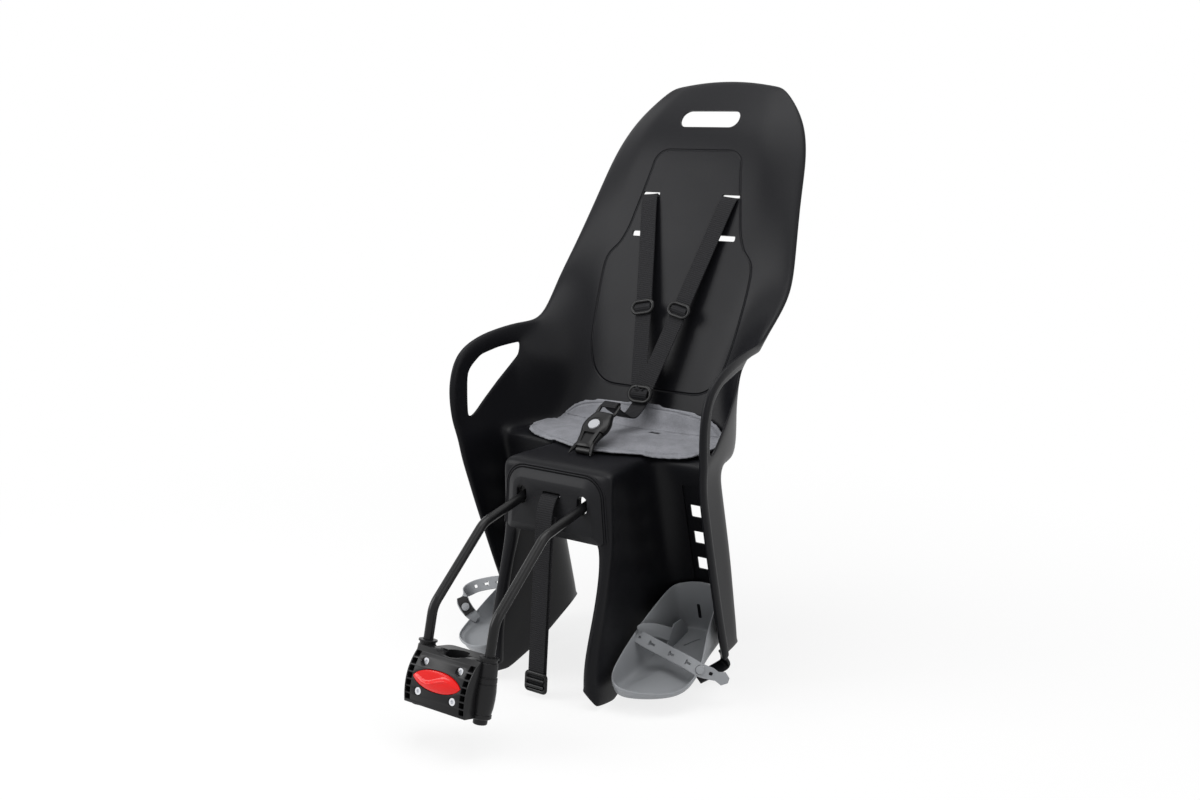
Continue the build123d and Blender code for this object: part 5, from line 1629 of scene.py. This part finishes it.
@dataclass
class Studio:
    """Pale floor, soft boxes and the camera."""

    eye: Point = (0.979, -1.103, 0.646)
    turn: tuple[float, float, float] = (77.74, 0, 35)
    lens: float = 40.46
    floor_z: float = -0.0845
    fill: float = 0.45
    floor_glow: float = 0.8
    lamps: tuple[tuple[str, Point, tuple[float, float], float], ...] = (
        ("left_box", (-1.6, -1.2, 1.4), (1.2, 1.6), 32), ("right_box", (1.8, 0.2, 1.2), (0.8, 1.8), 6),
        ("top_box", (0.1, 0.2, 2.0), (1.6, 1.2), 20))

    def camera(self) -> None:
        """Adds the camera at the photograph's angle."""
        data = bpy.data.cameras.new("view")
        data.lens = self.lens
        data.sensor_width = 36
        obj = bpy.data.objects.new("view", data)
        obj.location = self.eye
        obj.rotation_euler = [math.radians(a) for a in self.turn]
        bpy.context.scene.collection.objects.link(obj)
        bpy.context.scene.camera = obj

    def box_light(self, name: str, at: Point, size: tuple[float, float], watts: float) -> None:
        """Adds a soft box that faces the seat.

        Args:
            name: the lamp's name.
            at: its place.
            size: its width and height.
            watts: its power.
        """
        data = bpy.data.lights.new(name, "AREA")
        data.shape = "RECTANGLE"
        data.size, data.size_y = size
        data.energy = watts
        obj = bpy.data.objects.new(name, data)
        obj.location = at
        obj.rotation_euler = (Vector((0, 0.3, 0.3)) - Vector(at)).to_track_quat("-Z", "Y").to_euler()
        bpy.context.scene.collection.objects.link(obj)

    def seen(self, tree: bpy.types.NodeTree) -> bpy.types.NodeSocket:
        """A socket that is 1 for what the camera sees, straight or in a reflection, and 0 for other light."""
        path = tree.nodes.new("ShaderNodeLightPath")
        seen = path.outputs["Is Camera Ray"]
        for kind in ("Is Glossy Ray", "Is Transmission Ray"):
            either = tree.nodes.new("ShaderNodeMath")
            either.operation = "MAXIMUM"
            tree.links.new(seen, either.inputs[0])
            tree.links.new(path.outputs[kind], either.inputs[1])
            seen = either.outputs[0]
        return seen

    def backdrop(self) -> None:
        """Adds the floor and a world that is white to the camera and in reflections."""
        bpy.ops.object.select_all(action="DESELECT")
        bpy.ops.mesh.primitive_plane_add(size=8, location=(0, 0, self.floor_z))
        floor = bpy.context.active_object
        floor.name = "studio_floor"
        shader = Shader("floor_white")
        shader.set(Base_Color=(0.92, 0.92, 0.92, 1), Roughness=0.8)
        seen = self.seen(shader.tree)
        share = shader.tree.nodes.new("ShaderNodeMath")
        share.operation = "MULTIPLY"
        shader.tree.links.new(seen, share.inputs[0])
        far = shader.node("ShaderNodeVectorMath", {"operation": "LENGTH"}, {0: shader.place()}, "Value")
        fade = shader.node("ShaderNodeMapRange", {"interpolation_type": "SMOOTHSTEP"},
                           {"Value": far, "From Min": 0.5, "From Max": 1.5, "To Min": self.floor_glow, "To Max": 1.0})
        shader.feed(share.inputs[1], fade)
        glow = shader.tree.nodes.new("ShaderNodeEmission")
        mix = shader.tree.nodes.new("ShaderNodeMixShader")
        shader.tree.links.new(share.outputs[0], mix.inputs[0])
        shader.tree.links.new(shader.surface.outputs["BSDF"], mix.inputs[1])
        shader.tree.links.new(glow.outputs[0], mix.inputs[2])
        shader.tree.links.new(mix.outputs[0], shader.tree.nodes["Material Output"].inputs["Surface"])
        floor.data.materials.append(shader.material)
        world = bpy.data.worlds.new("studio")
        world.use_nodes = True
        tree = world.node_tree
        seen = self.seen(tree)
        level = tree.nodes.new("ShaderNodeMapRange")
        level.inputs["To Min"].default_value = self.fill
        tree.links.new(seen, level.inputs["Value"])
        back = tree.nodes["Background"]
        back.inputs["Color"].default_value = (1, 1, 1, 1)
        tree.links.new(level.outputs[0], back.inputs["Strength"])
        bpy.context.scene.world = world

    def build(self) -> None:
        """Sets the studio up."""
        bpy.context.scene.view_settings.view_transform = "Standard"
        self.backdrop()
        for lamp in self.lamps:
            self.box_light(*lamp)
        self.camera()


CAD_FINISH: dict[Slot, tuple[str, ...]] = {
    Slot.ROD: ("carrier_bow",),
    Slot.ZINC: ("clamp_screws", "clamp_nuts", "latch_plate", "release_spring", "bow_screws", "left_strap_stop",
                "right_strap_stop"),
    Slot.BLOCK: ("clamp_body", "clamp_jaw"),
    Slot.PLATE: ("mounting_plate", "bow_clamp"),
    Slot.RED: ("release_button",),
    Slot.PALE: ("buckle_button",),
    Slot.BUCKLE: ("buckle_body", "buckle_tongue", "left_strap_adjuster", "right_strap_adjuster",
                  "harness_joiner", "safety_strap_slide", "crotch_anchor"),
    Slot.WEBBING: ("left_shoulder_strap", "right_shoulder_strap", "tongue_strap", "safety_strap"),
    Slot.FELT: ("seat_pad",),
    Slot.TRAY: ("left_footrest", "right_footrest"),
    Slot.BAND: ("left_foot_strap", "right_foot_strap"),
}


def paint_nodes() -> None:
    """Gives the CAD nodes that show their finishes."""
    for slot, names in CAD_FINISH.items():
        for name in names:
            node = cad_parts[name]
            node.data.materials.clear()
            node.data.materials.append(Paint.of(slot))
            LOG.info("%s painted %s", name, slot.value)


def main() -> None:
    """Builds the pieces in order."""
    logging.basicConfig(level=logging.INFO, format="%(message)s")
    paint_nodes()
    ShellWall().build()
    FrontPlate().build()
    SafetyStrap().build()
    SeatPad().build()
    Harness().build()
    Buckle().build()
    Footrest("left", 1, LEFT_BAND).build()
    Footrest("right", -1, RIGHT_BAND).build()
    ClampBlock().build()
    Studio().build()


if __name__ == "__main__":
    main()
